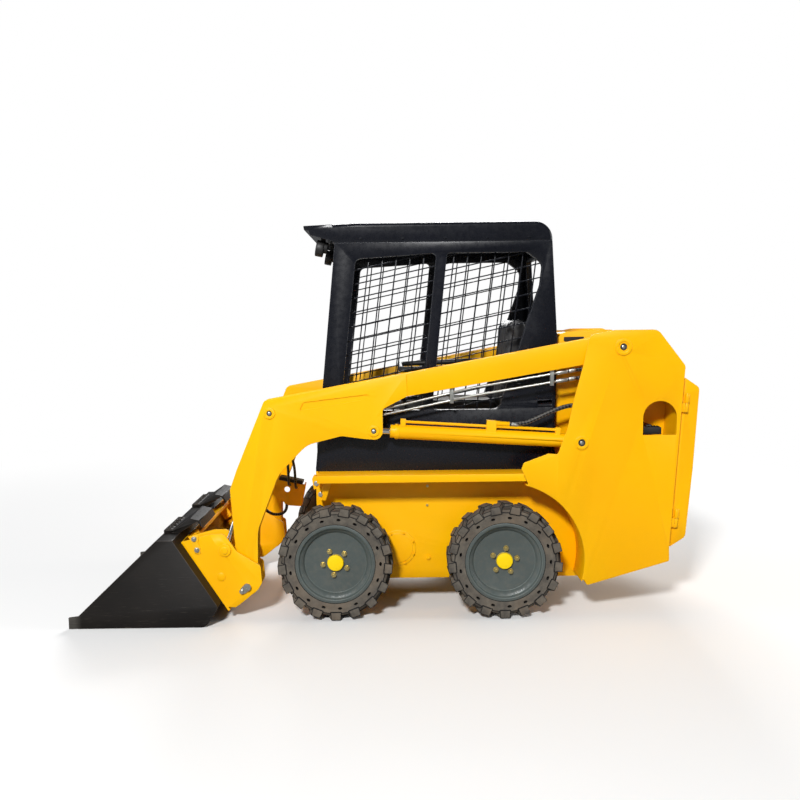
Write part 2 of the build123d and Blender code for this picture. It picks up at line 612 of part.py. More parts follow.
def make_barrel(radius, length, rod_radius):
    """Barrel along +X with its base eye on the origin and the gland at its mouth."""
    barrel = on_x(radius, radius / 2, length - 22) + on_x(radius - 3, length - 22, length)
    barrel += on_x(radius + 2, length - 40, length - 22)
    barrel += Rot(90, 0, 0) * Cylinder(radius + 3, 2 * radius)
    barrel -= Rot(90, 0, 0) * Cylinder(pin_radius + pin_fit, 4 * radius)
    return barrel - on_x(rod_radius + pin_fit, radius + 8, length + 10)


def make_rod(radius, hidden_end, pin_at, eye_radius):
    """Rod along +X from inside the barrel to its eye."""
    rod = on_x(radius, hidden_end, pin_at)
    return rod + Pos(pin_at, 0, 0) * Rot(90, 0, 0) * Cylinder(eye_radius, rod_eye_width)


cylinders = (
    # name, base, eye, barrel radius, rod radius, gland to eye, rod inside the barrel, eye radius
    ("lift", lift_base, lift_eye, lift_barrel_radius, lift_rod_radius, lift_gland_to_eye, 700, lift_eye_radius),
    ("tilt", tilt_base, tilt_eye, tilt_barrel_radius, tilt_rod_radius, tilt_gland_to_eye, 378, tilt_eye_radius))
for name, base, eye, outer_r, rod_r, to_eye, inside, eye_r in cylinders:
    place = along(base, eye)
    reach = hypot(eye[0] - base[0], eye[1] - base[1])
    length = reach - to_eye
    barrel = make_barrel(outer_r, length, rod_r)
    if name == "lift":
        # Return pipe on top: port block near the gland, a clamp block halfway and the pipe behind it
        pipe_z = outer_r + 16
        pipe_y = 10
        port_x, clamp_x, foot_x = length - 60, 435, 110
        barrel += Pos(port_x, pipe_y, 0) * block(-13, 13, -13, 13, outer_r - 8, outer_r + 30)
        clamp = Pos(clamp_x, pipe_y, 0) * block(-24, 24, -16, 16, -8, outer_r + 46)
        barrel += clamp - on_x(rod_r + pin_fit, clamp_x - 30, clamp_x + 30)
        barrel += Pos(foot_x, pipe_y, 0) * block(-12, 12, -12, 12, outer_r - 8, outer_r + 28)
        barrel += Pos(0, pipe_y, pipe_z) * on_x(7, foot_x, port_x)
        hose_z = outer_r + 32
        barrel += Pos(0, pipe_y, hose_z) * on_x(13, clamp_x - 40, clamp_x)
        barrel += Pos(0, pipe_y, hose_z) * on_x(11, clamp_x - 88, clamp_x - 40)
        start_x = clamp_x - 88
        route = [(start_x, pipe_y, hose_z), (start_x - 60, pipe_y, hose_z),
                 (start_x - 130, pipe_y, hose_z + 34), (start_x - 205, pipe_y, hose_z + 76),
                 (start_x - 280, pipe_y, hose_z + 106), (start_x - 350, pipe_y - 10, hose_z + 112),
                 (start_x - 410, pipe_y - 40, hose_z + 90)]
        save_pair("lift_hose", place * pipe(route, [120, 170, 170, 150, 90], hose_radius))
    save_pair(f"{name}_barrel", place * barrel)
    save_pair(f"{name}_rod", place * make_rod(rod_r, length - inside, reach, eye_r))

# ---------------------------------------------------------------- oil lines on the boom
# Two steel tubes under each beam in two clamps, hose tails behind them that turn in towards the tower
upper_tube = [(25, 1032), (-447, 1139), (-840, 1203)]
lower_tube = [(118, 987), (-447, 1100), (-840, 1163)]
tubes = []
tails = []
for line in (upper_tube, lower_tube):
    points = [(x, oil_tube_y, z) for x, z in line]
    tubes.append(pipe(points, [400], oil_tube_radius))
    x, z = line[-1]
    tubes.append(bar((x, oil_tube_y, z), (x - 50, oil_tube_y, z + 8), 11))
    tail = [(x - 50, oil_tube_y, z + 8), (x - 100, oil_tube_y, z + 16), (x - 165, oil_tube_y, z + 21),
            (x - 205, oil_tube_y - 50, z + 18), (x - 215, oil_tube_y - 105, z + 8)]
    tails.append(pipe(tail, [200, 55, 60], hose_radius))
under_slope = (core_rows[-1][1] - core_rows[-2][1]) / (core_rows[-1][0] - core_rows[-2][0])
for clamp_x, low_z in ((-333, 1063), (-818, 1143)):
    tops = [core_rows[-2][1] - seat_gap + under_slope * (x - core_rows[-2][0])
            for x in (clamp_x - 9, clamp_x + 9)]
    clamp_rows = [(clamp_x - 9, low_z, 0), (clamp_x + 9, low_z, 0), (clamp_x + 9, tops[1], 0),
                  (clamp_x - 9, tops[0], 0)]
    tubes.append(slab(clamp_rows, oil_tube_y - 10, oil_tube_y + 12))
lines = tubes[0] + tubes[1:]
save("boom_oil_tubes", lines, mirrored(lines))

# Bracket of the auxiliary oil outlet behind the cross tube: bent plate with a rubber pad on top and an
# outlet below, a hose looped forward from it and two hoses down to it from the left arm
bracket_y = 100
bracket_rows = [(cross_tube[0] - 30, cross_tube[1] - 30, 0), (cross_tube[0] - 30, cross_tube[1] + 26, 0),
                (562, 632, 8), (425, 602, 8), (449, 484, 8), (520, 490, 8), (590, 545, 0)]
bracket = slab(bracket_rows, bracket_y, bracket_y + 6) - disc((522, 577), 15, bracket_y - 1, bracket_y + 7)
bracket += slab([(425, 602, 0), (449, 484, 0), (455, 485, 0), (431, 603, 0)], bracket_y - 70, bracket_y + 1)
bracket += slab([(562, 631, 0), (445, 605, 0), (442, 618, 0), (559, 645, 0)], bracket_y - 60, bracket_y + 6)
bracket -= disc(cross_tube, cross_tube_radius, bracket_y - 80, bracket_y + 10)
outlet_x, outlet_y, outlet_top_z, outlet_low_z = 528, bracket_y - 11, 530, 496
bracket += bar((outlet_x, outlet_y, outlet_low_z), (outlet_x, outlet_y, outlet_top_z), 12)
inlets = ((505, 605), (470, 590))
for x, z in inlets:
    bracket += disc((x, z), 10, bracket_y + 5, bracket_y + 24)
save("auxiliary_bracket", bracket)
loop_end_z = cross_tube[1] - cross_tube_radius - seat_gap
loop = [(outlet_x, outlet_y, outlet_low_z), (outlet_x, outlet_y, outlet_low_z - 34),
        (outlet_x + 34, outlet_y, 436), (outlet_x + 86, outlet_y, 440), (outlet_x + 128, outlet_y, 478),
        (cross_tube[0], outlet_y, 520), (cross_tube[0], outlet_y, loop_end_z)]
hoses = [pipe(loop, [32, 45, 50, 60, 80], 8)]
for k, (x, z) in enumerate(inlets):
    start_x, start_z = 482 - 18 * k, 880 + 8 * k
    fall = [(start_x, arm_inner_y - seat_gap, start_z), (start_x, arm_inner_y - 38, start_z),
            (start_x + 10, arm_inner_y - 96, start_z - 32),
            (start_x + 16, arm_inner_y - 160, start_z - 92),
            (x - 4, arm_inner_y - 218, start_z - 176), (x, bracket_y + 78, z), (x, bracket_y + 24, z)]
    hoses.append(pipe(fall, [42, 70, 80, 70, 40], 7))
save("boom_hoses", *tails, *[mirrored(tail) for tail in tails], *hoses)

# ---------------------------------------------------------------- coupler
ear_rows = [
    (856, 437, 12), (786, 438, 25), (727, 350, 40), (611, 277, 20), (606, 191, 20), (626, 157, 15),
    (723, 79, 12), (741, 68, 0), (778, 71, 0), (988, 403, 0)]
ear_inner = (arm_inner_y - side_gap - coupler_plate, arm_inner_y - side_gap)
ear_outer = (arm_outer_y + side_gap, arm_outer_y + side_gap + coupler_plate)
face_low_z, face_high_z = 50, 399
face_foot = (bucket_back_foot[0] + (face_low_z - bucket_back_foot[1]) * back_slope, face_low_z)
face_length = (face_high_z - face_low_z) * hypot(1, back_slope)
face_angle = degrees(atan2(1, back_slope))


face_place = Pos(face_foot[0], 0, face_foot[1]) * Rot(0, -face_angle, 0)


def on_face(u0, u1, v0, v1, y0, y1):
    """Box on the coupler's back: u up along the face from its foot, v back from the bucket."""
    return face_place * block(u0, u1, y0, y1, v0, v1)


coupler = on_face(0, face_length, 0, coupler_plate, -ear_outer[1], ear_outer[1])
coupler += on_face(60, 130, coupler_plate, 70, -ear_inner[0], ear_inner[0])
coupler += on_face(face_length - 34, face_length - 16, coupler_plate, 60, -ear_inner[0], ear_inner[0])
for y0, y1 in (ear_inner, ear_outer):
    ear = slab(ear_rows, y0, y1)
    coupler += ear + mirrored(ear)
for sign in (1, -1):
    low, high = sorted((sign * ear_inner[0], sign * (ear_outer[1] + 12)))
    coupler += disc(coupler_pivot, pin_radius, low, high)
    boss_low, boss_high = sorted((sign * ear_outer[1], sign * (ear_outer[1] + 8)))
    coupler += disc(tilt_eye, 31, boss_low, boss_high)
    coupler += disc(tilt_eye, 17, *sorted((sign * ear_outer[1], sign * (ear_outer[1] + 13))))
    # Latch: sliding wedge in a guide, its lever between two lugs with a bolt at each end
    for u0, u1, v0, v1, y0, y1 in (
            (8, 300, coupler_plate, 32, 322, 358), (120, 150, coupler_plate, 42, 308, 372),
            (230, 260, coupler_plate, 42, 308, 372), (318, face_length, coupler_plate, 60, 372, 380),
            (318, face_length, coupler_plate, 60, 300, 308), (296, 400, 32, 46, 334, 346)):
        coupler += on_face(u0, u1, v0, v1, *sorted((sign * y0, sign * y1)))
    for u, v in ((395, 38), (335, 34)):
        coupler += face_place * disc((u, v), 9, *sorted((sign * 292, sign * 388)))
save("quick_coupler", coupler)

# ---------------------------------------------------------------- bucket
back_foot = (*bucket_back_foot, 30)
back_top = (*bucket_back_top, 0)
top_z = bucket_back_top[1]
shell_outer = [(bucket_lip_x, 0, 0), (bucket_heel_x, 0, 50), back_foot, back_top, (bucket_top_x, top_z, 0)]
shell_inner = [(bucket_lip_x + 60, bucket_plate, 0), (bucket_heel_x + 6, bucket_plate, 42),
               (bucket_back_foot[0] + 12, bucket_back_foot[1] + 2, 22),
               (bucket_back_top[0] + 6, top_z - bucket_plate, 0), (bucket_top_x + 34, top_z - bucket_plate, 0)]
side_plate_rows = [(bucket_lip_x, 0, 0), (bucket_heel_x, 0, 50), back_foot, back_top,
                   (bucket_top_x, top_z, 0), (bucket_lip_x - 46, 62, 0), (bucket_lip_x, 56, 0)]
inner_half = bucket_half_width - bucket_side_plate
shell = slab(shell_outer, -inner_half, inner_half) - slab(shell_inner, -inner_half - 1, inner_half + 1)
side_plate = slab(side_plate_rows, inner_half, bucket_half_width)
edge_rows = [(bucket_lip_x, 0, 0), (bucket_lip_x, 6, 0), (bucket_lip_x - 24, cutting_edge_height, 0),
             (bucket_lip_x - cutting_edge_depth, cutting_edge_height, 0),
             (bucket_lip_x - cutting_edge_depth, 0, 0)]
cutting_edge = slab(edge_rows, -inner_half, inner_half)
save("bucket", shell + side_plate + mirrored(side_plate) + cutting_edge)

# Hooks over the bucket's top edge that the coupler hangs in: bent plates on three ribs, each with a
# step strip in front whose raised rims round the holes give grip
step_depth = 46
step_rise = 16
hook_plate = 9
step_back_x = bucket_top_x - step_depth
hook_rows = [(bucket_top_x, top_z, 0), (bucket_top_x, top_z + step_rise, 0),
             (step_back_x, top_z + step_rise, 0), (966, 504, 6), (918, 493, 8), (898, 458, 0), (906, 454, 0), (925, 484, 4), (962, 493, 3),
             (step_back_x + 2, top_z + 4, 0), (step_back_x + 12, top_z, 0)]
rib_rows = [(step_back_x + 6, top_z, 0), (step_back_x - 4, top_z + 8, 0), (964, 496, 0), (930, 487, 0),
            (bucket_back_top[0] + 0.5, top_z, 0)]
hooks = slab(hook_rows, hook_inner_y, hook_outer_y)
rib_count = 3
rib_pitch = (hook_outer_y - hook_inner_y - hook_plate) / (rib_count - 1)
for k in range(rib_count):
    hooks += slab(rib_rows, hook_inner_y + k * rib_pitch, hook_inner_y + k * rib_pitch + hook_plate)
grip_count = 6
grip_pitch = (hook_outer_y - hook_inner_y) / grip_count
for k in range(grip_count):
    grip = Pos(bucket_top_x - step_depth / 2, hook_inner_y + (k + 0.5) * grip_pitch, top_z + step_rise)
    hooks += grip * extrude(RegularPolygon(15, 8), amount=3)
    hooks -= grip * extrude(RegularPolygon(10, 8), amount=step_rise - 4, both=True)
save("bucket_hooks", hooks, mirrored(hooks))
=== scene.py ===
import json
import math

import bmesh
import bpy
from mathutils import Matrix, Vector
from mathutils.bvhtree import BVHTree

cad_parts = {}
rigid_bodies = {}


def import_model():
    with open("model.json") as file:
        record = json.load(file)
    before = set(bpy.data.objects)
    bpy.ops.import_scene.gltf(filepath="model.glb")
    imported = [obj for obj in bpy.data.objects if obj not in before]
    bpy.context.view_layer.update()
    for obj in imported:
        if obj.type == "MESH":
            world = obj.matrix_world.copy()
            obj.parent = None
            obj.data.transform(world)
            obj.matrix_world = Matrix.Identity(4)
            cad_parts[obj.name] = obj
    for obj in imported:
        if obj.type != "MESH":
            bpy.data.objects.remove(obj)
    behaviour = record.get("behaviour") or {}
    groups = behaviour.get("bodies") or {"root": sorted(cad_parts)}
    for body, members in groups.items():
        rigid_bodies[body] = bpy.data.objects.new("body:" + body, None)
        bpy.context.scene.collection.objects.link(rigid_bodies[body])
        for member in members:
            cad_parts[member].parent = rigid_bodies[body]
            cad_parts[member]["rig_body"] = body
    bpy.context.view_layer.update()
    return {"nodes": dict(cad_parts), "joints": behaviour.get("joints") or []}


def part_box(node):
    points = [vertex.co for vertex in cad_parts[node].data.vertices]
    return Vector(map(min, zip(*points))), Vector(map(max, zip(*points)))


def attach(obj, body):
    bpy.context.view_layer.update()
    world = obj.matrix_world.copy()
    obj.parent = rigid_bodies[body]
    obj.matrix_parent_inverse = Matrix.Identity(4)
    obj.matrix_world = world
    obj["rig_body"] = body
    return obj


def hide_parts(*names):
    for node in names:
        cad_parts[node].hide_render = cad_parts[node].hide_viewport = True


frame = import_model()


# ---- Chassis: chain cases, belly, fenders, two towers and the rear crossmember.
# Real ones are 6 to 8 mm mild steel plate, laser cut, folded and welded, then sprayed with gloss
# machine enamel. The spray leaves a faint orange peel, and plate edges carry a thinner, paler coat.
def linear(code):
    """sRGB hex to the linear colour a shader wants."""
    values = [int(code[k:k + 2], 16) / 255 for k in (1, 3, 5)]
    return (*[v / 12.92 if v <= 0.04045 else ((v + 0.055) / 1.055) ** 2.4 for v in values], 1.0)


def add(tree, kind, inputs=(), **settings):
    """One node with its settings; an input is a value or another node's output."""
    made = tree.nodes.new(kind)
    for key, value in settings.items():
        setattr(made, key, value)
    for key, value in dict(inputs).items():
        if isinstance(value, bpy.types.NodeSocket):
            tree.links.new(value, made.inputs[key])
        else:
            made.inputs[key].default_value = value
    return made


def begin_finish(name, **shader):
    """New material with one Principled shader; constants go straight on its sockets."""
    finish = bpy.data.materials.new(name)
    finish.use_nodes = True
    tree = finish.node_tree
    tree.nodes.clear()
    surface = add(tree, "ShaderNodeBsdfPrincipled", {k.replace("_", " "): v for k, v in shader.items()})
    add(tree, "ShaderNodeOutputMaterial", {"Surface": surface.outputs[0]})
    place = add(tree, "ShaderNodeTexCoord").outputs["Object"]
    return finish, tree, surface, place


def feed(tree, surface, **outputs):
    """Links node outputs to the shader's sockets of these names."""
    for name, output in outputs.items():
        tree.links.new(output, surface.inputs[name.replace("_", " ")])


def sprayed_enamel(name, colour, shade, rough, dust, dust_amount, peel_mm=3.0, peel_depth=0.00006,
                   sheen=0.3):
    """Sprayed enamel over plate: broad tone drift, orange peel, dust that settles low down."""
    finish, tree, surface, place = begin_finish(name, IOR=1.5, Specular_IOR_Level=sheen)
    drift = add(tree, "ShaderNodeTexNoise", {"Vector": place, "Scale": 1000 / 420, "Detail": 3.0})
    tone = add(tree, "ShaderNodeMapRange", {"Value": drift.outputs["Fac"], "From Min": 0.35, "From Max": 0.7})
    paint = add(tree, "ShaderNodeMix", {0: tone.outputs[0], 6: linear(colour), 7: linear(shade)},
                data_type="RGBA")
    speck = add(tree, "ShaderNodeTexNoise", {"Vector": place, "Scale": 1000 / 26, "Detail": 8.0,
                                             "Roughness": 0.7})
    height = add(tree, "ShaderNodeSeparateXYZ", {"Vector": place})
    low = add(tree, "ShaderNodeMapRange", {"Value": height.outputs["Z"], "From Min": 0.75, "From Max": 0.1})
    grain = add(tree, "ShaderNodeMapRange", {"Value": speck.outputs["Fac"], "From Min": 0.45,
                                             "From Max": 0.75})
    dirt = add(tree, "ShaderNodeMath", {0: low.outputs[0], 1: grain.outputs[0]}, operation="MULTIPLY")
    cover = add(tree, "ShaderNodeMath", {0: dirt.outputs[0], 1: dust_amount}, operation="MULTIPLY")
    coat = add(tree, "ShaderNodeMix", {0: cover.outputs[0], 6: paint.outputs[2], 7: linear(dust)},
               data_type="RGBA")
    gloss = add(tree, "ShaderNodeMapRange", {"Value": speck.outputs["Fac"], "From Min": 0.3, "From Max": 0.8,
                                            "To Min": rough, "To Max": rough + 0.14})
    peel = add(tree, "ShaderNodeTexNoise", {"Vector": place, "Scale": 1000 / peel_mm, "Detail": 2.0})
    skin = add(tree, "ShaderNodeBump", {"Height": peel.outputs["Fac"], "Distance": peel_depth,
                                        "Strength": 0.5})
    feed(tree, surface, Base_Color=coat.outputs[2], Roughness=gloss.outputs[0], Normal=skin.outputs[0])
    return finish


def stand(name, mesh):
    """A mesh becomes an object of the scene."""
    piece = bpy.data.objects.new(name, mesh)
    bpy.context.scene.collection.objects.link(piece)
    return piece


merge_gap = 0.00002                         # metres: corners nearer than this are one
flat_fold = math.radians(0.6)               # faces that fold less are one flat face
cut_fold = math.radians(38)                 # an edge that folds more is a cut edge, and is eased
crowded_fold = math.radians(35)             # eased edges that meet at less would throw a spike
slotted_sheets = ("engine_hood", "rear_door")


def soften(node, finish, edge_finish, edge_mm=1.6, extra=None):
    """The plate with its cut edges eased: copy of the CAD solid, merged, its sharp edges rounded."""
    source = frame["nodes"][node]
    piece = stand(node + "_dressed", source.data.copy())
    piece.data.materials.clear()
    piece.data.materials.append(finish)
    piece.data.materials.append(edge_finish)
    work = bmesh.new()
    work.from_mesh(piece.data)
    bmesh.ops.remove_doubles(work, verts=work.verts, dist=merge_gap)
    # Merged faces between slots spike when eased, so slotted sheets keep all of theirs
    if node not in slotted_sheets:
        bmesh.ops.dissolve_limit(work, angle_limit=flat_fold, verts=work.verts, edges=work.edges)
    for face in work.faces:
        face.material_index = 0
        face.smooth = True
    weight = work.edges.layers.float.new("bevel_weight_edge")
    # Edges under 0.6 of the rounding, and the shorter of two that meet at a sharp angle, stay as cut
    eased = {edge for edge in work.edges if edge.calc_face_angle(0.0) > cut_fold}
    left = {edge for edge in eased if edge.calc_length() < edge_mm * 0.0006}
    for corner in work.verts:
        meeting = [edge for edge in corner.link_edges if edge in eased]
        for k, one in enumerate(meeting):
            for other in meeting[k + 1:]:
                ways = [edge.other_vert(corner).co - corner.co for edge in (one, other)]
                if min(way.length for way in ways) > 0 and ways[0].angle(ways[1]) < crowded_fold:
                    left.add(one if ways[0].length < ways[1].length else other)
    for edge in eased - left:
        edge[weight] = 1.0
    work.to_mesh(piece.data)
    work.free()
    if extra:
        extra(piece)
    ease = piece.modifiers.new("ease", "BEVEL")
    ease.width = edge_mm / 1000
    ease.segments = 2
    ease.limit_method = "WEIGHT"
    ease.use_clamp_overlap = False
    ease.miter_outer = "MITER_ARC"
    ease.material = 1
    ease.harden_normals = True
    settle(piece)
    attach(piece, source["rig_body"])
    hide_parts(node)
    return piece


def settle(piece):
    """Turns a piece's modifiers into plain mesh."""
    evaluated = piece.evaluated_get(bpy.context.evaluated_depsgraph_get())
    mesh = bpy.data.meshes.new_from_object(evaluated)
    piece.modifiers.clear()
    piece.data = mesh
    return piece


yellow_enamel = sprayed_enamel("yellow_machine_enamel", "#FFBE00", "#FFB600", 0.32, "#D79F2C", 0.10,
                               sheen=0.2)
yellow_edge = sprayed_enamel("yellow_enamel_thin_on_edges", "#FFC510", "#F5AE06", 0.36, "#A98A5E", 0.25)
for node in ("belly_pan", "chain_cases", "fenders", "tower_left", "tower_right", "rear_crossmember",
             "axle_tubes"):
    soften(node, yellow_enamel, yellow_edge)

# ---- Engine hood and rear door.
# The same enamel on folded sheet; the louvre slots are cut after folding. The door hangs on two
# welded knuckles and shuts with a bar latch.
for node in ("engine_hood", "rear_door"):
    soften(node, yellow_enamel, yellow_edge, edge_mm=1.4)

# ---- Engine block behind the door and the filler cap on the left tower.
# Grey iron casting with a sand-cast grain; the cap and its neck are ribbed black nylon.
cast_iron, tree, surface, place = begin_finish("sand_cast_iron", Base_Color=linear("#4C4E50"), Metallic=0.6,
                                               Roughness=0.72)
sand = add(tree, "ShaderNodeTexNoise", {"Vector": place, "Scale": 1000 / 4, "Detail": 5.0})
rough_cast = add(tree, "ShaderNodeBump", {"Height": sand.outputs["Fac"], "Distance": 0.0008, "Strength": 0.6})
feed(tree, surface, Normal=rough_cast.outputs[0])


def moulded_plastic(name, colour, pale, rough, grain_mm=1.6, depth=0.00012):
    """Injection-moulded plastic with a spark-eroded grain, greyed a little in patches."""
    finish, tree, surface, place = begin_finish(name, IOR=1.5, Roughness=rough)
    patch = add(tree, "ShaderNodeTexNoise", {"Vector": place, "Scale": 1000 / 60, "Detail": 6.0})
    worn = add(tree, "ShaderNodeMapRange", {"Value": patch.outputs["Fac"], "From Min": 0.4, "From Max": 0.75})
    tone = add(tree, "ShaderNodeMix", {0: worn.outputs[0], 6: linear(colour), 7: linear(pale)},
               data_type="RGBA")
    grain = add(tree, "ShaderNodeTexVoronoi", {"Vector": place, "Scale": 1000 / grain_mm})
    leather = add(tree, "ShaderNodeBump", {"Height": grain.outputs["Distance"], "Distance": depth,
                                           "Strength": 0.6})
    feed(tree, surface, Base_Color=tone.outputs[2], Normal=leather.outputs[0])
    return finish


black_nylon = moulded_plastic("black_nylon", "#141415", "#242322", 0.5)
black_nylon_edge = moulded_plastic("black_nylon_worn_edge", "#222222", "#343332", 0.45)
soften("filler_cap", black_nylon, black_nylon_edge, edge_mm=1.5)
soften("engine_block", cast_iron, cast_iron, edge_mm=8)

# ---- Wheels: solid rubber tyres on pressed steel rims.
# Solid tyres moulded in rubber, with two staggered rows of lugs and a ring of blind moulding holes in
# the outer side. Dry clay dust lies over the rubber in patches.
rubber, tree, surface, place = begin_finish("dusty_tyre_rubber", IOR=1.52)
clay = add(tree, "ShaderNodeTexNoise", {"Vector": place, "Scale": 1000 / 55, "Detail": 9.0,
                                        "Roughness": 0.68})
caked = add(tree, "ShaderNodeMapRange", {"Value": clay.outputs["Fac"], "From Min": 0.36, "From Max": 0.66})
dusty = add(tree, "ShaderNodeMix", {0: caked.outputs[0], 6: linear("#47423C"), 7: linear("#6B6459")},
            data_type="RGBA")
patch = add(tree, "ShaderNodeTexNoise", {"Vector": place, "Scale": 1000 / 180, "Detail": 4.0})
brown = add(tree, "ShaderNodeMapRange", {"Value": patch.outputs["Fac"], "From Min": 0.5, "From Max": 0.72,
                                        "To Max": 0.55})
earth = add(tree, "ShaderNodeMix", {0: brown.outputs[0], 6: dusty.outputs[2], 7: linear("#7A6A58")},
            data_type="RGBA")
matt = add(tree, "ShaderNodeMapRange", {"Value": clay.outputs["Fac"], "From Min": 0.3, "From Max": 0.7,
                                       "To Min": 0.72, "To Max": 0.95})
pores = add(tree, "ShaderNodeTexNoise", {"Vector": place, "Scale": 1000 / 5, "Detail": 6.0, "Roughness": 0.7})
skin = add(tree, "ShaderNodeBump", {"Height": pores.outputs["Fac"], "Distance": 0.0012, "Strength": 0.7})
feed(tree, surface, Base_Color=earth.outputs[2], Roughness=matt.outputs[0], Normal=skin.outputs[0])

# The moulding holes' walls are near-black: painted shade inside the holes
painted_shade_in_holes, tree, surface, place = begin_finish("rubber_inside_holes", Base_Color=linear("#1B1917"),
                                                 Roughness=0.9)

sides = ((1, "left", (0.0, 1.0, 0.0)), (-1, "right", (0.0, -1.0, 0.0)))
tyre_hole_count = 17
tyre_hole_ring = 0.222
tyre_hole_radius = 0.0085
tyre_hole_depth = 0.022
tyre_hole_squash = Matrix.Diagonal((0.75, 1.25, 1.0, 1.0))


def made_of(work, name, finish):
    """The mesh in work becomes a piece of one finish."""
    mesh = bpy.data.meshes.new(name)
    work.to_mesh(mesh)
    work.free()
    mesh.materials.append(finish)
    return stand(name, mesh)


def cut_by(cutter, lining=None):
    """Extra step for soften: takes the cutter's shape out, its walls in the lining's finish."""
    def cut_piece(piece):
        cut = piece.modifiers.new("cut", "BOOLEAN")
        cut.operation = "DIFFERENCE"
        cut.solver = "EXACT"
        cut.object = cutter
        if lining:
            piece.data.materials.append(lining)
            cut.material_mode = "TRANSFER"
    return cut_piece


def moulding_holes(centre, inward):
    """Cutter for the ring of blind holes in a tyre's outer side."""
    work = bmesh.new()
    for k in range(tyre_hole_count):
        turn = 2 * math.pi * (k + 0.5) / tyre_hole_count
        spot = Matrix.Translation(centre) @ Matrix.Rotation(-turn, 4, "Y") @ Matrix.Translation(
            (tyre_hole_ring, inward * 0.006, 0)) @ Matrix.Rotation(math.radians(90), 4, "X")
        bmesh.ops.create_cone(work, cap_ends=True, segments=14, radius1=tyre_hole_radius,
                              radius2=tyre_hole_radius, depth=tyre_hole_depth * 2,
                              matrix=spot @ tyre_hole_squash)
    return made_of(work, "moulding_holes", painted_shade_in_holes)


for place_name in ("front", "rear"):
    for side, side_name, out in sides:
        node = f"tyre_{place_name}_{side_name}"
        low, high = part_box(node)
        centre = (low + high) / 2
        centre.y = high.y if side > 0 else low.y
        cutter = moulding_holes(centre, -side)
        soften(node, rubber, rubber, edge_mm=3.0, extra=cut_by(cutter, painted_shade_in_holes))
        bpy.data.objects.remove(cutter)

# Pressed steel discs in satin grey paint: a smooth film under a dust haze
grey_rim = sprayed_enamel("satin_grey_rim_paint", "#535B59", "#4B5351", 0.32, "#7C7466", 0.3, peel_mm=4.0,
                          sheen=0.5)
grey_rim_edge = sprayed_enamel("grey_rim_paint_worn_edge", "#66706D", "#5A6461", 0.36, "#7C7466", 0.3,
                               sheen=0.5)
for place_name in ("front", "rear"):
    for side, side_name, out in sides:
        soften(f"rim_{place_name}_{side_name}", grey_rim, grey_rim_edge, edge_mm=1.5)


# ---- Bolts, nuts and pin heads.
# Zinc and yellow-passivated steel fasteners: a pressed washer, a chamfered hexagon and a stud end. One
# rule makes them all: it stands a fastener on each point and turns it to its facing.
def plated_steel(name, colour, tint, rough):
    """Zinc plate: fine crystalline mottling with a yellow passivation bloom."""
    finish, tree, surface, place = begin_finish(name, Metallic=1.0)
    spangle = add(tree, "ShaderNodeTexVoronoi", {"Vector": place, "Scale": 1000 / 5})
    bloom = add(tree, "ShaderNodeTexNoise", {"Vector": place, "Scale": 1000 / 18, "Detail": 4.0})
    tone = add(tree, "ShaderNodeMix", {0: bloom.outputs["Fac"], 6: linear(colour), 7: linear(tint)},
               data_type="RGBA")
    gloss = add(tree, "ShaderNodeMapRange", {"Value": spangle.outputs["Distance"], "To Min": rough,
                                            "To Max": rough + 0.18})
    feed(tree, surface, Base_Color=tone.outputs[2], Roughness=gloss.outputs[0])
    return finish


zinc = plated_steel("bright_zinc_plate", "#C9CBC8", "#A9A8A0", 0.28)
passivated = plated_steel("yellow_passivated_zinc", "#D8C98A", "#B9A469", 0.3)
dark_steel = plated_steel("oiled_pin_steel", "#6D6C67", "#4E4C47", 0.38)


def open_rule(name, start, sizes, result):
    """Starts a Geometry Nodes tree: what it starts from, its named sizes in metres, what it makes."""
    tree = bpy.data.node_groups.new(name, "GeometryNodeTree")
    tree.interface.new_socket(start, in_out="INPUT", socket_type="NodeSocketGeometry")
    kinds = {float: "NodeSocketFloat", int: "NodeSocketInt", tuple: "NodeSocketVector"}
    for size, value in sizes.items():
        socket = tree.interface.new_socket(size, in_out="INPUT", socket_type=kinds[type(value)])
        socket.default_value = value
    tree.interface.new_socket(result, in_out="OUTPUT", socket_type="NodeSocketGeometry")
    return tree, add(tree, "NodeGroupInput").outputs


def close_rule(tree, stood, finish):
    """Ends a tree: the copies made real, painted and handed out."""
    real = add(tree, "GeometryNodeRealizeInstances", {"Geometry": stood})
    painted = add(tree, "GeometryNodeSetMaterial", {"Geometry": real.outputs[0], "Material": finish})
    add(tree, "NodeGroupOutput", {0: painted.outputs[0]})
    return tree


def grow(piece, tree, **sizes):
    """Runs a tree on a piece with the sizes given, and keeps the plain mesh."""
    rule = piece.modifiers.new("rule", "NODES")
    rule.node_group = tree
    for item in tree.interface.items_tree:
        key = item.name.lower().replace(" ", "_")
        if item.in_out == "INPUT" and key in sizes:
            rule[item.identifier] = sizes[key]
    return settle(piece)


def carry(piece, body):
    """The piece rides on one body."""
    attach(piece, body)
    return piece


washer_height = 0.0022
washer_overlap = 0.0001


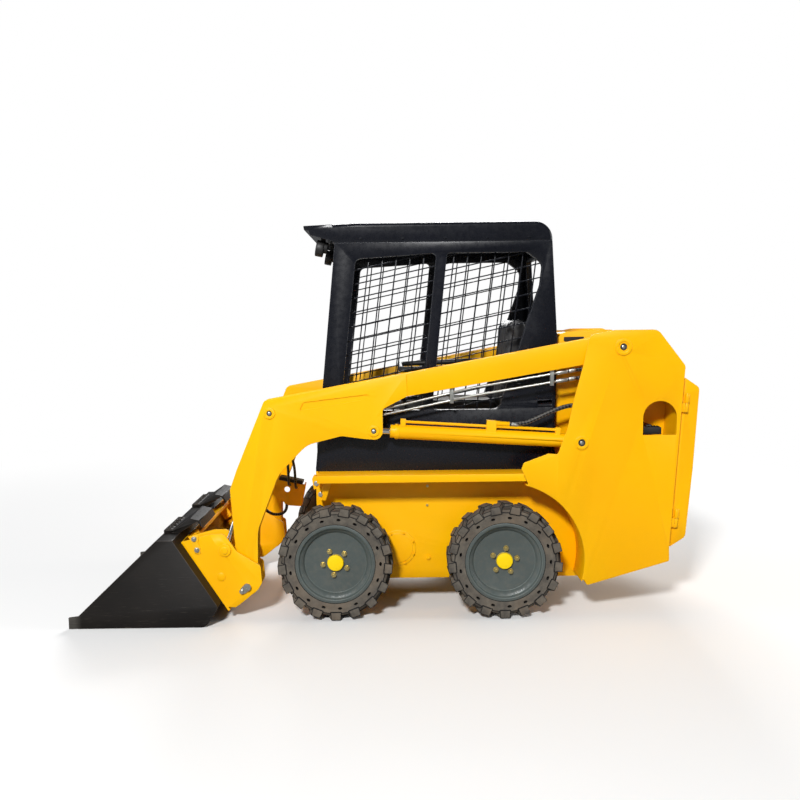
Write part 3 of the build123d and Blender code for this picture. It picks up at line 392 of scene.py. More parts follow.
def hex_fastener_tree(finish):
    """Points in, hexagon heads out; a point's facing attribute is the way its head looks."""
    tree, given = open_rule("hex_fasteners", "Points",
                            {"Across Flats": 0.019, "Head Height": 0.010, "Washer Radius": 0.017,
                             "Stud Radius": 0.006, "Stud Height": 0.007}, "Fasteners")
    head_foot = washer_height - washer_overlap

    def drum(sides, radius, height, lift):
        """Closed drum standing on z = 0 and raised by lift."""
        made = add(tree, "GeometryNodeMeshCylinder", {"Vertices": sides, "Radius": radius, "Depth": height})
        half = add(tree, "ShaderNodeMath", {0: height, 1: 0.5}, operation="MULTIPLY")
        rise = add(tree, "ShaderNodeMath", {0: half.outputs[0], 1: lift}, operation="ADD")
        shift = add(tree, "ShaderNodeCombineXYZ", {"Z": rise.outputs[0]})
        return add(tree, "GeometryNodeTransform", {"Geometry": made.outputs["Mesh"],
                                                   "Translation": shift.outputs[0]}).outputs[0]

    corner = add(tree, "ShaderNodeMath", {0: given["Across Flats"], 1: 0.577},
                 operation="MULTIPLY").outputs[0]
    round_top = add(tree, "ShaderNodeMath", {0: given["Across Flats"], 1: 0.5},
                    operation="MULTIPLY").outputs[0]
    top = add(tree, "ShaderNodeMath", {0: given["Head Height"], 1: washer_height}, operation="ADD").outputs[0]
    crown = add(tree, "ShaderNodeMath", {0: given["Head Height"], 1: 0.0012}, operation="ADD").outputs[0]
    parts = add(tree, "GeometryNodeJoinGeometry")
    for part in (drum(20, given["Washer Radius"], washer_height, 0.0),
                 drum(6, corner, given["Head Height"], head_foot), drum(18, round_top, crown, head_foot),
                 drum(12, given["Stud Radius"], given["Stud Height"], top)):
        tree.links.new(part, parts.inputs[0])
    flat = add(tree, "GeometryNodeSetShadeSmooth", {"Geometry": parts.outputs[0], "Shade Smooth": False})
    facing = add(tree, "GeometryNodeInputNamedAttribute", {"Name": "facing"}, data_type="FLOAT_VECTOR")
    turn = add(tree, "FunctionNodeAlignRotationToVector", {"Vector": facing.outputs[0]}, axis="Z")
    stood = add(tree, "GeometryNodeInstanceOnPoints", {"Points": given["Points"], "Instance": flat.outputs[0],
                                                       "Rotation": turn.outputs[0]})
    return close_rule(tree, stood.outputs[0], finish)


def fasten(name, body, slot, finish, spots, **sizes):
    """Fasteners of one size at (x, y, z, facing) spots, in metres, riding on one body."""
    mesh = bpy.data.meshes.new(name)
    mesh.from_pydata([spot[:3] for spot in spots], [], [])
    facing = mesh.attributes.new("facing", "FLOAT_VECTOR", "POINT")
    for k, spot in enumerate(spots):
        facing.data[k].vector = spot[3]
    return carry(grow(stand(name, mesh), hex_fastener_tree(finish), **sizes), body)


def turned(name, body, finish, profile, spots, sides=40):
    """Lathe-turned pieces: (radius, height) rows in mm round each spot (x, y, z, facing)."""
    work = bmesh.new()
    for x, y, z, facing in spots:
        face = bmesh.new()
        row = [face.verts.new((r / 1000, 0, h / 1000)) for r, h in profile]
        line = [face.edges.new(pair) for pair in zip(row, row[1:])]
        bmesh.ops.spin(face, geom=row + line, cent=(0, 0, 0), axis=(0, 0, 1), angle=2 * math.pi, steps=sides)
        bmesh.ops.remove_doubles(face, verts=face.verts, dist=merge_gap)
        bmesh.ops.holes_fill(face, edges=[edge for edge in face.edges if edge.is_boundary])
        bmesh.ops.recalc_face_normals(face, faces=face.faces)
        turn = Vector(facing).to_track_quat("Z", "X").to_matrix().to_4x4()
        bmesh.ops.transform(face, verts=face.verts, matrix=Matrix.Translation((x, y, z)) @ turn)
        single = bpy.data.meshes.new(name)
        face.to_mesh(single)
        face.free()
        work.from_mesh(single)
        bpy.data.meshes.remove(single)
    for face in work.faces:
        face.smooth = True
    for edge in work.edges:
        edge.smooth = edge.calc_face_angle(0.0) < math.radians(35)
    return carry(made_of(work, name, finish), body)


pivot = {joint["name"]: Vector(joint["pos_m"]) for joint in frame["joints"] if "pos_m" in joint}
nut_ring = 0.062
dish_face = 0.509                           # the rim's dish, from the middle plane
cap_yellow = sprayed_enamel("hub_cap_yellow_enamel", "#FFDD08", "#FFD400", 0.35, "#C79A48", 0.1)
for place_name, first_nut in (("front", 63), ("rear", 25)):
    for side, side_name, out in sides:
        low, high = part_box(f"rim_{place_name}_{side_name}")
        dish_y = side * dish_face
        x, z = (low.x + high.x) / 2, (low.z + high.z) / 2
        turns = [math.radians(first_nut + 72 * k) for k in range(5)]
        spots = [(x + nut_ring * math.cos(t), dish_y, z + nut_ring * math.sin(t), out) for t in turns]
        fasten(f"wheel_nuts_{place_name}_{side_name}", f"wheel_{place_name}_{side_name}", "chrome_rod",
               passivated,
               spots, across_flats=0.0205, head_height=0.012, washer_radius=0.0135, stud_radius=0.0065,
               stud_height=0.006)
        # Hub cap: a pressed cup in a lighter yellow, with the lathe centre in its middle
        turned(f"hub_cap_{place_name}_{side_name}", f"wheel_{place_name}_{side_name}", cap_yellow,
               [(0.0, 16.6), (2.2, 18.2), (33.0, 18.6), (38.0, 17.0), (40.5, 13.2), (41.0, 2.0), (42.0, 0.2),
                (42.0, -0.6), (0.0, -0.6)], [(x, dish_y, z, out)])

# ---- Pivot pins, covers and bolts on the chassis.
# Ground steel pins with a chamfered end stand in turned bosses. The round covers' bolts and the case
# plugs are painted over; a few small plated screws are left bright.
pin_end = [(0.0, 1.2), (10.4, 1.2), (11.2, 3.0), (14.8, 3.2), (16.4, 1.6), (16.6, -1.0), (0.0, -1.0)]
tower_pins = []
for side, side_name, out in sides:
    for at in (pivot["boom_lift"], pivot[f"lift_barrel_{side_name}_swing"]):
        tower_pins.append((at.x, side * 0.535, at.z, out))
turned("tower_pin_ends", "chassis", dark_steel, pin_end, tower_pins)
turned("tower_pin_nipples", "chassis", zinc,
       [(0.0, 3.4), (6.0, 3.2), (8.4, 2.2), (8.4, 1.0), (0.0, 1.0)], tower_pins)
cover_bolts, case_plugs, small_screws = [], [], []
case_wall = 0.330                           # the chain case's outer wall, from the middle plane
cover_x, cover_z, cover_ring = -0.065, 0.308, 0.084
for side, side_name, out in sides:
    wall_y = side * case_wall
    for k in range(8):
        turn = math.radians(20 + 45 * k)
        cover_bolts.append((cover_x + cover_ring * math.cos(turn), side * 0.337,
                            cover_z + cover_ring * math.sin(turn), out))
    case_plugs.append((-0.220, wall_y, 0.258, out))
    small_screws += [(-0.216, wall_y, 0.530, out), (-0.218, wall_y, 0.629, out), (-0.930, wall_y, 0.560, out)]
fasten("cover_bolts", "chassis", "yellow", yellow_enamel, cover_bolts, across_flats=0.010, head_height=0.005,
       washer_radius=0.0075, stud_radius=0.002, stud_height=0.0005)
fasten("case_plugs", "chassis", "yellow", yellow_enamel, case_plugs, across_flats=0.019, head_height=0.008,
       washer_radius=0.014, stud_radius=0.004, stud_height=0.001)
fasten("case_screws", "chassis", "chrome_rod", passivated, small_screws, across_flats=0.010,
       head_height=0.005,
       washer_radius=0.007, stud_radius=0.003, stud_height=0.001)


def slab(outline_mm, planes_mm):
    """Closed slab of an (x, z) outline between two y planes, all in mm."""
    work = bmesh.new()
    rows = [[work.verts.new((x / 1000, y / 1000, z / 1000)) for x, z in outline_mm] for y in planes_mm]
    work.faces.new(rows[0])
    work.faces.new(rows[1])
    for k in range(len(outline_mm)):
        work.faces.new((rows[0][k - 1], rows[0][k], rows[1][k], rows[1][k - 1]))
    bmesh.ops.recalc_face_normals(work, faces=work.faces)
    return work


def plate(name, body, finish, outline_mm, side, span_mm, edge_mm):
    """Flat plate cut to an (x, z) outline, over a span out from the middle plane on one side."""
    work = slab(outline_mm, sorted(side * y for y in span_mm))
    bmesh.ops.bevel(work, geom=list(work.edges), offset=edge_mm / 1000, segments=2, affect="EDGES",
                    profile=0.5)
    return carry(made_of(work, name, finish), body)


# Cab mounting lugs in front of the fenders: two bolted straps a side
mount_mm = (392, 436)
for side, side_name, out in sides:
    plate(f"cab_mount_upper_{side_name}", "chassis", yellow_enamel,
          [(322, 700), (322, 646), (350, 636), (358, 690), (350, 706)], side, mount_mm, 2.0)
    plate(f"cab_mount_lower_{side_name}", "chassis", yellow_enamel,
          [(322, 650), (300, 640), (298, 584), (330, 580), (338, 640)], side, mount_mm, 2.0)
    mount_face = side * mount_mm[1] / 1000
    fasten(f"cab_mount_bolts_{side_name}", "chassis", "chrome_rod", zinc,
           [(0.3365, mount_face, 0.668, out), (0.316, mount_face, 0.613, out)], across_flats=0.017,
           head_height=0.010,
           washer_radius=0.013, stud_radius=0.004, stud_height=0.002)


# Weld beads run where plates meet: overlapping puddles of metal under the paint, one every few mm
def bead_tree(name, finish, segments, least, most, stretch):
    """A path in, a row of drops out: one at each step, drawn out along the path by stretch."""
    tree, given = open_rule(name, "Path", {"Bead Radius": 0.0035, "Step": 0.0035}, "Beads")
    path = add(tree, "GeometryNodeMeshToCurve", {"Mesh": given["Path"]})
    steps = add(tree, "GeometryNodeResampleCurve", {"Curve": path.outputs[0], "Length": given["Step"]},
                mode="LENGTH")
    drop = add(tree, "GeometryNodeMeshUVSphere", {"Segments": segments, "Rings": 5,
                                                  "Radius": given["Bead Radius"]})
    lean = add(tree, "GeometryNodeInputTangent")
    turn = add(tree, "FunctionNodeAlignRotationToVector", {"Vector": lean.outputs[0]}, axis="Z")
    chance = add(tree, "FunctionNodeRandomValue", {"Seed": 7, 2: least, 3: most}, data_type="FLOAT")
    size = add(tree, "ShaderNodeCombineXYZ", {"X": chance.outputs[1], "Y": chance.outputs[1], "Z": stretch})
    run = add(tree, "GeometryNodeInstanceOnPoints", {"Points": steps.outputs[0], "Instance": drop.outputs[0],
                                                     "Rotation": turn.outputs[0], "Scale": size.outputs[0]})
    return close_rule(tree, run.outputs[0], finish)


def lay_beads(name, body, tree, runs_mm, radius_mm, step_mm):
    """Beads along (x, y, z) runs in mm, all on one body."""
    points, edges = [], []
    for run in runs_mm:
        edges += [(len(points) + k, len(points) + k + 1) for k in range(len(run) - 1)]
        points += [tuple(v / 1000 for v in point) for point in run]
    mesh = bpy.data.meshes.new(name)
    mesh.from_pydata(points, edges, [])
    piece = grow(stand(name, mesh), tree, bead_radius=radius_mm / 1000, step=step_mm / 1000)
    return carry(piece, body)


def weld(name, body, finish, runs_mm, radius_mm):
    """Weld beads: flattened drops that overlap, in slightly different sizes."""
    return lay_beads(name, body, bead_tree("weld_bead", finish, 8, 0.86, 1.12, 0.8), runs_mm,
                     radius_mm, radius_mm)


def ring(x, y, z, radius):
    """Closed circle of points facing along y, in mm."""
    steps = 28
    return [(x + radius * math.cos(2 * math.pi * k / steps), y,
             z + radius * math.sin(2 * math.pi * k / steps))
            for k in range(steps + 1)]


runs = []
for side, side_name, out in sides:
    for at, radius in ((pivot["boom_lift"], 40), (pivot[f"lift_barrel_{side_name}_swing"], 33)):
        runs.append(ring(at.x * 1000, side * 532.6, at.z * 1000, radius + 0.8))
    runs.append([(340, side * 330.5, 712), (-660, side * 330.5, 712)])
weld("chassis_welds", "chassis", yellow_enamel, runs, 2.6)

# ---- Cab: side walls, rear wall, floor, header and roof with its visor.
# Roll cage of pressed steel, welded and sprayed gloss black; its faint blue tone is partly the paint's own
# and partly a painted blue sky reflection, under a thin brown dust, and the cut edges are rubbed paler.
cab_black = sprayed_enamel("gloss_black_cab_enamel", "#0B0D14", "#11131B", 0.22, "#38332E", 0.10, peel_mm=3.5,
                           peel_depth=0.0001, sheen=0.3)
cab_edge = sprayed_enamel("black_enamel_rubbed_edge", "#1F2128", "#2B2D34", 0.3, "#4A443D", 0.2, sheen=0.5)
for node in ("cab_side_left", "cab_side_right", "cab_rear", "cab_floor", "cab_roof", "cab_front_header"):
    soften(node, cab_black, cab_edge, edge_mm=2.0)


def paint_build(piece):
    """The dipped screens carry a thick coat: each bar grows 0.9 mm all round."""
    coat = piece.modifiers.new("paint_build", "DISPLACE")
    coat.strength = 0.0009
    coat.mid_level = 0.0


for node in ("guard_screen_left", "guard_screen_right"):
    soften(node, cab_black, cab_edge, edge_mm=0.8, extra=paint_build)


# Vent louvres pressed out of each side wall behind the seat: one rule repeats the rib up the wall
def louvre_tree(finish):
    """A column of equal ribs: count, pitch, size and first place in, plain mesh out."""
    tree, given = open_rule("vent_louvres", "Geometry",
                            {"Count": 4, "Pitch": (0.0, 0.0, 0.0145), "Rib Size": (0.09, 0.004, 0.008),
                             "First Rib": (0.0, 0.0, 0.0)}, "Louvres")
    rib = add(tree, "GeometryNodeMeshCube", {"Size": given["Rib Size"]})
    column = add(tree, "GeometryNodeMeshLine", {"Count": given["Count"], "Start Location": given["First Rib"],
                                                "Offset": given["Pitch"]}, mode="OFFSET")
    ribs = add(tree, "GeometryNodeInstanceOnPoints", {"Points": column.outputs[0],
                                                      "Instance": rib.outputs[0]})
    return close_rule(tree, ribs.outputs[0], finish)


for side, side_name, out in sides:
    piece = grow(stand(f"cab_louvres_{side_name}", bpy.data.meshes.new("cab_louvres")),
                 louvre_tree(cab_black),
                 first_rib=(-0.800, side * 0.3955, 1.083))
    soft = piece.modifiers.new("soft", "BEVEL")
    soft.width = 0.0018
    soft.segments = 2
    carry(settle(piece), "chassis")

# The roof's skirt is screwed to the side walls, and each wall has a weld bead up its front edge
low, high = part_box("cab_roof")
skirt_screw_z = low.z + 0.018
skirt_screw_pitch = 0.205
screws = []
for side, side_name, out in sides:
    screws += [(-0.72 + skirt_screw_pitch * k, side * 0.395, skirt_screw_z, out) for k in range(5)]
fasten("roof_screws", "chassis", "cab_black", cab_black, screws, across_flats=0.009, head_height=0.004,
       washer_radius=0.007, stud_radius=0.002, stud_height=0.0005)
weld("cab_welds", "chassis", cab_black,
     [[(330, side * 395.4, 745), (330, side * 395.4, 1000)] for side, side_name, out in sides], 2.0)

# Thin black rubber-finished strip on each tower's inner wall below the hood's edge: painted shade standing in
# for the dark recess there
black_rubber = moulded_plastic("black_rubber_strip", "#0F0F10", "#1B1A19", 0.62, grain_mm=1.2)
for side, side_name, out in sides:
    plate(f"tower_grommet_{side_name}", "chassis", black_rubber,
          [(-904, 1374), (-1002, 1375), (-1006, 1369), (-996, 1361), (-960, 1353), (-912, 1350),
           (-902, 1356)], side, (330, 334), 1.5)

# ---- Work lamps under the visor.
# Black moulded housings under the visor; each ribbed lens shines like the reflector behind it, so both
# are one bright ribbed disc, held in a rubber bezel.
soften("work_lamps", black_nylon, black_nylon_edge, edge_mm=1.5)
lens, tree, surface, place = begin_finish("ribbed_lamp_lens", Metallic=0.85)
ribs = add(tree, "ShaderNodeTexWave", {"Vector": place, "Scale": 1000 / 42, "Distortion": 0.0},
           bands_direction="Y")
shine = add(tree, "ShaderNodeMix", {0: ribs.outputs["Fac"], 6: linear("#E6E9EA"), 7: linear("#A9AEB0")},
            data_type="RGBA")
haze = add(tree, "ShaderNodeMapRange", {"Value": ribs.outputs["Fac"], "To Min": 0.08, "To Max": 0.25})
prism = add(tree, "ShaderNodeBump", {"Height": ribs.outputs["Fac"], "Distance": 0.0015, "Strength": 0.8})
feed(tree, surface, Base_Color=shine.outputs[2], Roughness=haze.outputs[0], Normal=prism.outputs[0])
lamp_lean = math.radians(78)                # the lamps look forward and a little up
look = Vector((math.sin(lamp_lean), 0.0, math.cos(lamp_lean)))
low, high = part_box("work_lamps")
lamp_mid = Vector((0.302, 0.318, low.z + 0.043)) + look * 0.0168
lamp_spots = [(lamp_mid.x, side * lamp_mid.y, lamp_mid.z, look) for side, side_name, out in sides]
turned("lamp_bezels", "chassis", black_rubber,
       [(33.5, 0.4), (34.5, 3.0), (38.5, 3.0), (40.2, 1.0), (40.2, -4.0), (33.0, -4.0), (33.5, 0.4)],
       lamp_spots)
turned("lamp_lenses", "chassis", lens,
       [(0.0, 3.6), (12.0, 3.2), (24.0, 2.0), (33.2, 0.2), (33.2, -2.0), (0.0, -2.0)], lamp_spots)

# ---- Controls and lap bar.
# Moulded black consoles with a lever each, and a bent tube bar with the same grained black coat.
soften("control_consoles", black_nylon, black_nylon_edge, edge_mm=4.0)
soften("lap_bar", black_nylon, black_nylon_edge, edge_mm=1.0)

# ---- Seat: base, cushion and back.
# Foam in a sewn black vinyl cover on a black base. Four channels run down each pad with a stitched row
# on both sides, and a plain one across the back. The stretched cover crowns between its channels.
soften("seat_base", black_nylon, black_nylon_edge, edge_mm=4.0)
vinyl, tree, surface, place = begin_finish("black_grained_vinyl", IOR=1.5, Coat_Weight=0.15,
                                           Coat_Roughness=0.35)
hide = add(tree, "ShaderNodeTexVoronoi", {"Vector": place, "Scale": 1000 / 2.6}, feature="DISTANCE_TO_EDGE")
rub = add(tree, "ShaderNodeTexNoise", {"Vector": place, "Scale": 1000 / 90, "Detail": 6.0})
worn = add(tree, "ShaderNodeMapRange", {"Value": rub.outputs["Fac"], "From Min": 0.42, "From Max": 0.72})
tone = add(tree, "ShaderNodeMix", {0: worn.outputs[0], 6: linear("#17171A"), 7: linear("#2A2928")},
           data_type="RGBA")
gloss = add(tree, "ShaderNodeMapRange", {"Value": rub.outputs["Fac"], "To Min": 0.38, "To Max": 0.62})
crease = add(tree, "ShaderNodeBump", {"Height": hide.outputs["Distance"], "Distance": 0.0006,
                                      "Strength": 0.5})
feed(tree, surface, Base_Color=tone.outputs[2], Roughness=gloss.outputs[0], Normal=crease.outputs[0])
thread, tree, surface, place = begin_finish("grey_bonded_thread", Roughness=0.7)
twist = add(tree, "ShaderNodeTexWave", {"Vector": place, "Scale": 1000 / 6, "Distortion": 1.0},
            bands_direction="DIAGONAL")
strand = add(tree, "ShaderNodeMix", {0: twist.outputs["Fac"], 6: linear("#4C4B4A"), 7: linear("#6D6B68")},
             data_type="RGBA")
feed(tree, surface, Base_Color=strand.outputs[2])


pad_draw_in = 0.018                         # metres off each pad's size, before it is blown up
channel_depth, channel_width = 0.0085, 0.0055
least_facing = 0.35                         # channels are drawn where the skin faces the crown


def upholster(node, held, crown, channels, swell_mm):
    """Foam pad: the CAD solid drawn in, remeshed, blown up by cloth, its sewn channels pulled down."""
    source = frame["nodes"][node]
    low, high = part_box(node)
    middle = (low + high) / 2
    piece = stand(f"{node}_pad", source.data.copy())
    piece.data.materials.clear()
    piece.data.materials.append(vinyl)
    work = bmesh.new()
    work.from_mesh(piece.data)
    bmesh.ops.remove_doubles(work, verts=work.verts, dist=merge_gap)
    draw_in = Vector([(size - pad_draw_in) / size for size in high - low])
    for vertex in work.verts:
        vertex.co = middle + (vertex.co - middle) * draw_in
    work.to_mesh(piece.data)
    work.free()
    grid = piece.modifiers.new("grid", "REMESH")
    grid.mode = "VOXEL"
    grid.voxel_size = 0.006
    grid.use_smooth_shade = True
    settle(piece)
    before = [vertex.co.copy() for vertex in piece.data.vertices]
    pins = piece.vertex_groups.new(name="held")
    pins.add([k for k, spot in enumerate(before) if held(spot, low, high)], 1.0, "REPLACE")
    blow = piece.modifiers.new("foam", "CLOTH")
    blow.settings.use_pressure = True
    blow.settings.uniform_pressure_force = 4.0
    blow.settings.vertex_group_mass = "held"
    blow.settings.tension_stiffness = 18
    blow.settings.compression_stiffness = 18
    blow.settings.effector_weights.gravity = 0.0
    for frame_number in range(1, 21):
        bpy.context.scene.frame_set(frame_number)
    settle(piece)
    bpy.context.scene.frame_set(1)
    for vertex, start in zip(piece.data.vertices, before):
        moved = vertex.co - start
        if moved.length > swell_mm / 1000:
            vertex.co = start + moved.normalized() * swell_mm / 1000
    round_off = piece.modifiers.new("round_off", "SMOOTH")
    round_off.iterations = 6
    finer = piece.modifiers.new("finer", "SUBSURF")
    finer.levels = finer.render_levels = 1
    settle(piece)
    facings = [crown.dot(vertex.normal) for vertex in piece.data.vertices]
    for vertex, facing in zip(piece.data.vertices, facings):
        if facing > least_facing:
            pull = sum(math.exp(-((gap(vertex.co) / channel_width) ** 2)) for gap in channels)
            vertex.co -= crown * channel_depth * min(pull, 1.0) * min(1.0, (facing - least_facing) / 0.3)
        vertex.co = Vector([min(max(v, a), b) for v, a, b in zip(vertex.co, low, high)])
    for face in piece.data.polygons:
        face.use_smooth = True
    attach(piece, "chassis")
    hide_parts(node)
    return piece


def lay_on(pad, points, crown, lift):
    """Drops a run of points onto a pad along its crown direction and lifts them off its skin."""
    work = bmesh.new()
    work.from_mesh(pad.data)
    skin = BVHTree.FromBMesh(work)
    work.free()
    laid = []
    for point in points:
        hit = skin.ray_cast(Vector(point) + crown * 0.2, -crown)
        if hit[0] is not None:
            laid.append(tuple((hit[0] + hit[1] * lift) * 1000))
    return laid


seam_step = 0.008                           # metres between the points of a seam's path


def seam_rows(pad, crown, channels, point, count):
    """Seams on both sides of each channel; point gives the place k steps along it at a given y."""
    rows = []
    for channel in channels:
        for offset in (-channel, channel):
            for shift in (-0.0075, 0.0075):
                run = [point(k, offset + shift) for k in range(count)]
                rows.append(lay_on(pad, run, crown, 0.0002))
    return rows


up = Vector((0.0, 0.0, 1.0))
cushion_channels = (0.075, 0.168)
cushion = upholster("seat_cushion", lambda spot, low, high: spot.z < low.z + 0.022, up,
                    [lambda spot: abs(spot.y) - cushion_channels[0],
                     lambda spot: abs(spot.y) - cushion_channels[1]], 16)
forward_back = Vector((1.0, 0.0, 0.24)).normalized()
back_channels = (0.075, 0.165)
cross_channel_z = 1.13
back = upholster("seat_back", lambda spot, low, high: False, forward_back,
                 [lambda spot: abs(spot.y) - back_channels[0], lambda spot: abs(spot.y) - back_channels[1],
                  lambda spot: spot.z - cross_channel_z if abs(spot.y) < back_channels[1] else 1.0], 14)
low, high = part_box("seat_cushion")
seams = seam_rows(cushion, up, cushion_channels, lambda k, y: (low.x + 0.03 + seam_step * k, y, 1.0),
                  int((high.x - low.x - 0.06) / seam_step))
low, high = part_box("seat_back")
seams += seam_rows(back, forward_back, back_channels, lambda k, y: (-0.68, y, low.z + 0.06 + seam_step * k),
                   int((high.z - low.z - 0.12) / seam_step))
# A stitch is a drop of thread drawn out along the seam, 1.6 mm thick and 6 mm from the next: coarser
# than real thread, so that it shows
lay_beads("seat_stitches", "chassis", bead_tree("stitches", thread, 6, 1.0, 1.0, 2.6),
          [seam for seam in seams if len(seam) > 2], 0.8, 6.0)

# ---- Boom: two arms and the cross tube.
# Box sections of 8 mm plate: the elbow's side plates are welded over slimmer beams, and the legs stay
# open at the front for the tilt cylinders. A shallow pressed channel stiffens each elbow plate.
channel_mm = [(386, 1078), (72, 1113), (60, 1092), (404, 1037)]
channel_span_mm = (504.5, 516)              # from the channel's floor to clear of the plate


def press_channel(side):
    """Cutter for the channel in one elbow's outer plate, its corners rounded."""
    work = slab(channel_mm, [side * y for y in channel_span_mm])
    upright = [e for e in work.edges if abs(e.verts[0].co.y - e.verts[1].co.y) > 0.001]
    bmesh.ops.bevel(work, geom=upright, offset=0.009, segments=5, affect="EDGES", profile=0.5)
    return made_of(work, "press_channel", yellow_enamel)


for side, side_name, out in sides:
    cutter = press_channel(side)
    soften(f"lift_arm_{side_name}", yellow_enamel, yellow_edge, edge_mm=1.8, extra=cut_by(cutter))
    bpy.data.objects.remove(cutter)
soften("boom_cross_tube", yellow_enamel, yellow_edge, edge_mm=1.8)
soften("auxiliary_bracket", yellow_enamel, yellow_edge, edge_mm=1.2)
arm_boss_face = 0.512                       # the bosses' outer ends, from the middle plane
arm_pins = []
for side, side_name, out in sides:
    arm_pins += [(0.0466, side * arm_boss_face, 0.934, out), (0.550, side * arm_boss_face, 1.026, out)]
turned("arm_pin_ends", "boom", dark_steel,
       [(0.0, 0.8), (8.6, 0.8), (9.2, 2.6), (11.4, 2.8), (12.2, 1.4), (12.4, -1.0), (0.0, -1.0)], arm_pins)
turned("arm_pin_nipples", "boom", zinc,
       [(0.0, 3.0), (5.4, 2.8), (7.4, 1.8), (7.4, 0.6), (0.0, 0.6)], arm_pins)
runs = []
for side, side_name, out in sides:
    runs.append([(-114.8, side * 508.4, 1104), (-114.8, side * 508.4, 1207)])
    runs.append(ring(46.6, side * 510.6, 934, 27.8))
    runs.append(ring(550, side * 510.6, 1026, 27.8))
weld("boom_welds", "boom", yellow_enamel, runs, 2.4)
# Rubber pad on the outlet bracket, a bonded strip that stops the hoses chafing
plate("outlet_pad", "boom", black_rubber,
      [(566, 629), (440, 602), (436, 620), (560, 647)], 1, (36, 110), 3.0)

# ---- Cylinders: barrels in machine yellow, hard-chromed rods.
# Chrome on ground bar: mirror bright, with a very fine grain left by the grinding.
for node in ("lift_barrel_left", "lift_barrel_right", "tilt_barrel_left", "tilt_barrel_right"):
    soften(node, yellow_enamel, yellow_edge, edge_mm=1.2)
chrome, tree, surface, place = begin_finish("hard_chrome_rod", Base_Color=linear("#DADCDD"), Metallic=1.0)
lines = add(tree, "ShaderNodeTexNoise", {"Vector": place, "Scale": 1000 / 3, "Detail": 3.0})
film = add(tree, "ShaderNodeMapRange", {"Value": lines.outputs["Fac"], "To Min": 0.08, "To Max": 0.22})
feed(tree, surface, Roughness=film.outputs[0])
for node in ("lift_rod_left", "lift_rod_right", "tilt_rod_left", "tilt_rod_right"):
    soften(node, chrome, chrome, edge_mm=1.2)

# ---- Oil lines: drawn steel tubes in clamps under the beams, and braided hoses behind them.
# Tubes are bright zinc; a hose is black rubber under a plaited textile cover, so its skin shows fine
# crossing threads. Steel ferrules are crimped on the hose ends in eight flats.
soften("boom_oil_tubes", zinc, zinc, edge_mm=0.8)
braid, tree, surface, place = begin_finish("textile_braided_hose", Specular_IOR_Level=0.4)
wrap = add(tree, "ShaderNodeUVMap", uv_map="wrap")
cross = add(tree, "ShaderNodeMapping", {"Vector": wrap.outputs[0], "Rotation": (0.0, 0.0, math.pi / 4)})
# Threads are drawn 8 round the hose, coarser than the real 24, so that they show
plait = add(tree, "ShaderNodeTexChecker", {"Vector": cross.outputs[0], "Scale": 8 * math.sqrt(2) / 2,
                                           "Color1": linear("#0D0D0E"), "Color2": linear("#5A5752")})
slick = add(tree, "ShaderNodeMapRange", {"Value": plait.outputs["Fac"], "To Min": 0.55, "To Max": 0.32})
threads = add(tree, "ShaderNodeBump", {"Height": plait.outputs["Fac"], "Distance": 0.0007, "Strength": 0.7})
feed(tree, surface, Base_Color=plait.outputs["Color"], Roughness=slick.outputs[0], Normal=threads.outputs[0])


def hose_line(route_mm):
    """The smooth line of a hose: a third-order spline led by its route."""
    curve = bpy.data.curves.new("route", "CURVE")
    curve.dimensions = "3D"
    spline = curve.splines.new("NURBS")
    spline.points.add(len(route_mm) - 1)
    for point, spot in zip(spline.points, route_mm):
        point.co = (spot[0] / 1000, spot[1] / 1000, spot[2] / 1000, 1.0)
    spline.order_u = 3
    spline.use_endpoint_u = True
    spline.resolution_u = 10
    carrier = stand("route", curve)
    mesh = bpy.data.meshes.new_from_object(carrier)
    line = [vertex.co.copy() for vertex in mesh.vertices]
    bpy.data.objects.remove(carrier)
    return line


def hoses(name, body, node, routes):
    """Round hoses along their routes, (route in mm, radius in mm) each, wrapped by one map."""
    around = 16
    work = bmesh.new()
    wrap_layer = work.loops.layers.uv.new("wrap")
    for route_mm, radius_mm in routes:
        line, radius = hose_line(route_mm), radius_mm / 1000
        level = abs((line[1] - line[0]).normalized().y) < 0.8
        across = Vector((0.0, 1.0, 0.0)) if level else Vector((0.0, 0.0, 1.0))
        travelled, rings = 0.0, []
        for k, spot in enumerate(line):
            ahead = (line[min(k + 1, len(line) - 1)] - line[max(k - 1, 0)]).normalized()
            across = (across - ahead * across.dot(ahead)).normalized()
            second = ahead.cross(across)
            travelled += (spot - line[k - 1]).length if k else 0.0
            turns = [2 * math.pi * j / around for j in range(around)]
            rings.append((travelled / (2 * math.pi * radius), [work.verts.new(
                spot + across * radius * math.cos(t) + second * radius * math.sin(t)) for t in turns]))
        for (v0, ring0), (v1, ring1) in zip(rings, rings[1:]):
            for j in range(around):
                face = work.faces.new((ring0[j], ring0[(j + 1) % around], ring1[(j + 1) % around], ring1[j]))
                spots = ((j / around, v0), ((j + 1) / around, v0), ((j + 1) / around, v1), (j / around, v1))
                for loop, spot in zip(face.loops, spots):
                    loop[wrap_layer].uv = spot
                face.smooth = True
        work.faces.new(rings[0][1][::-1])
        work.faces.new(rings[-1][1])
    bmesh.ops.recalc_face_normals(work, faces=work.faces)
    piece = made_of(work, name, braid)
    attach(piece, body)
    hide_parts(node)
    return piece


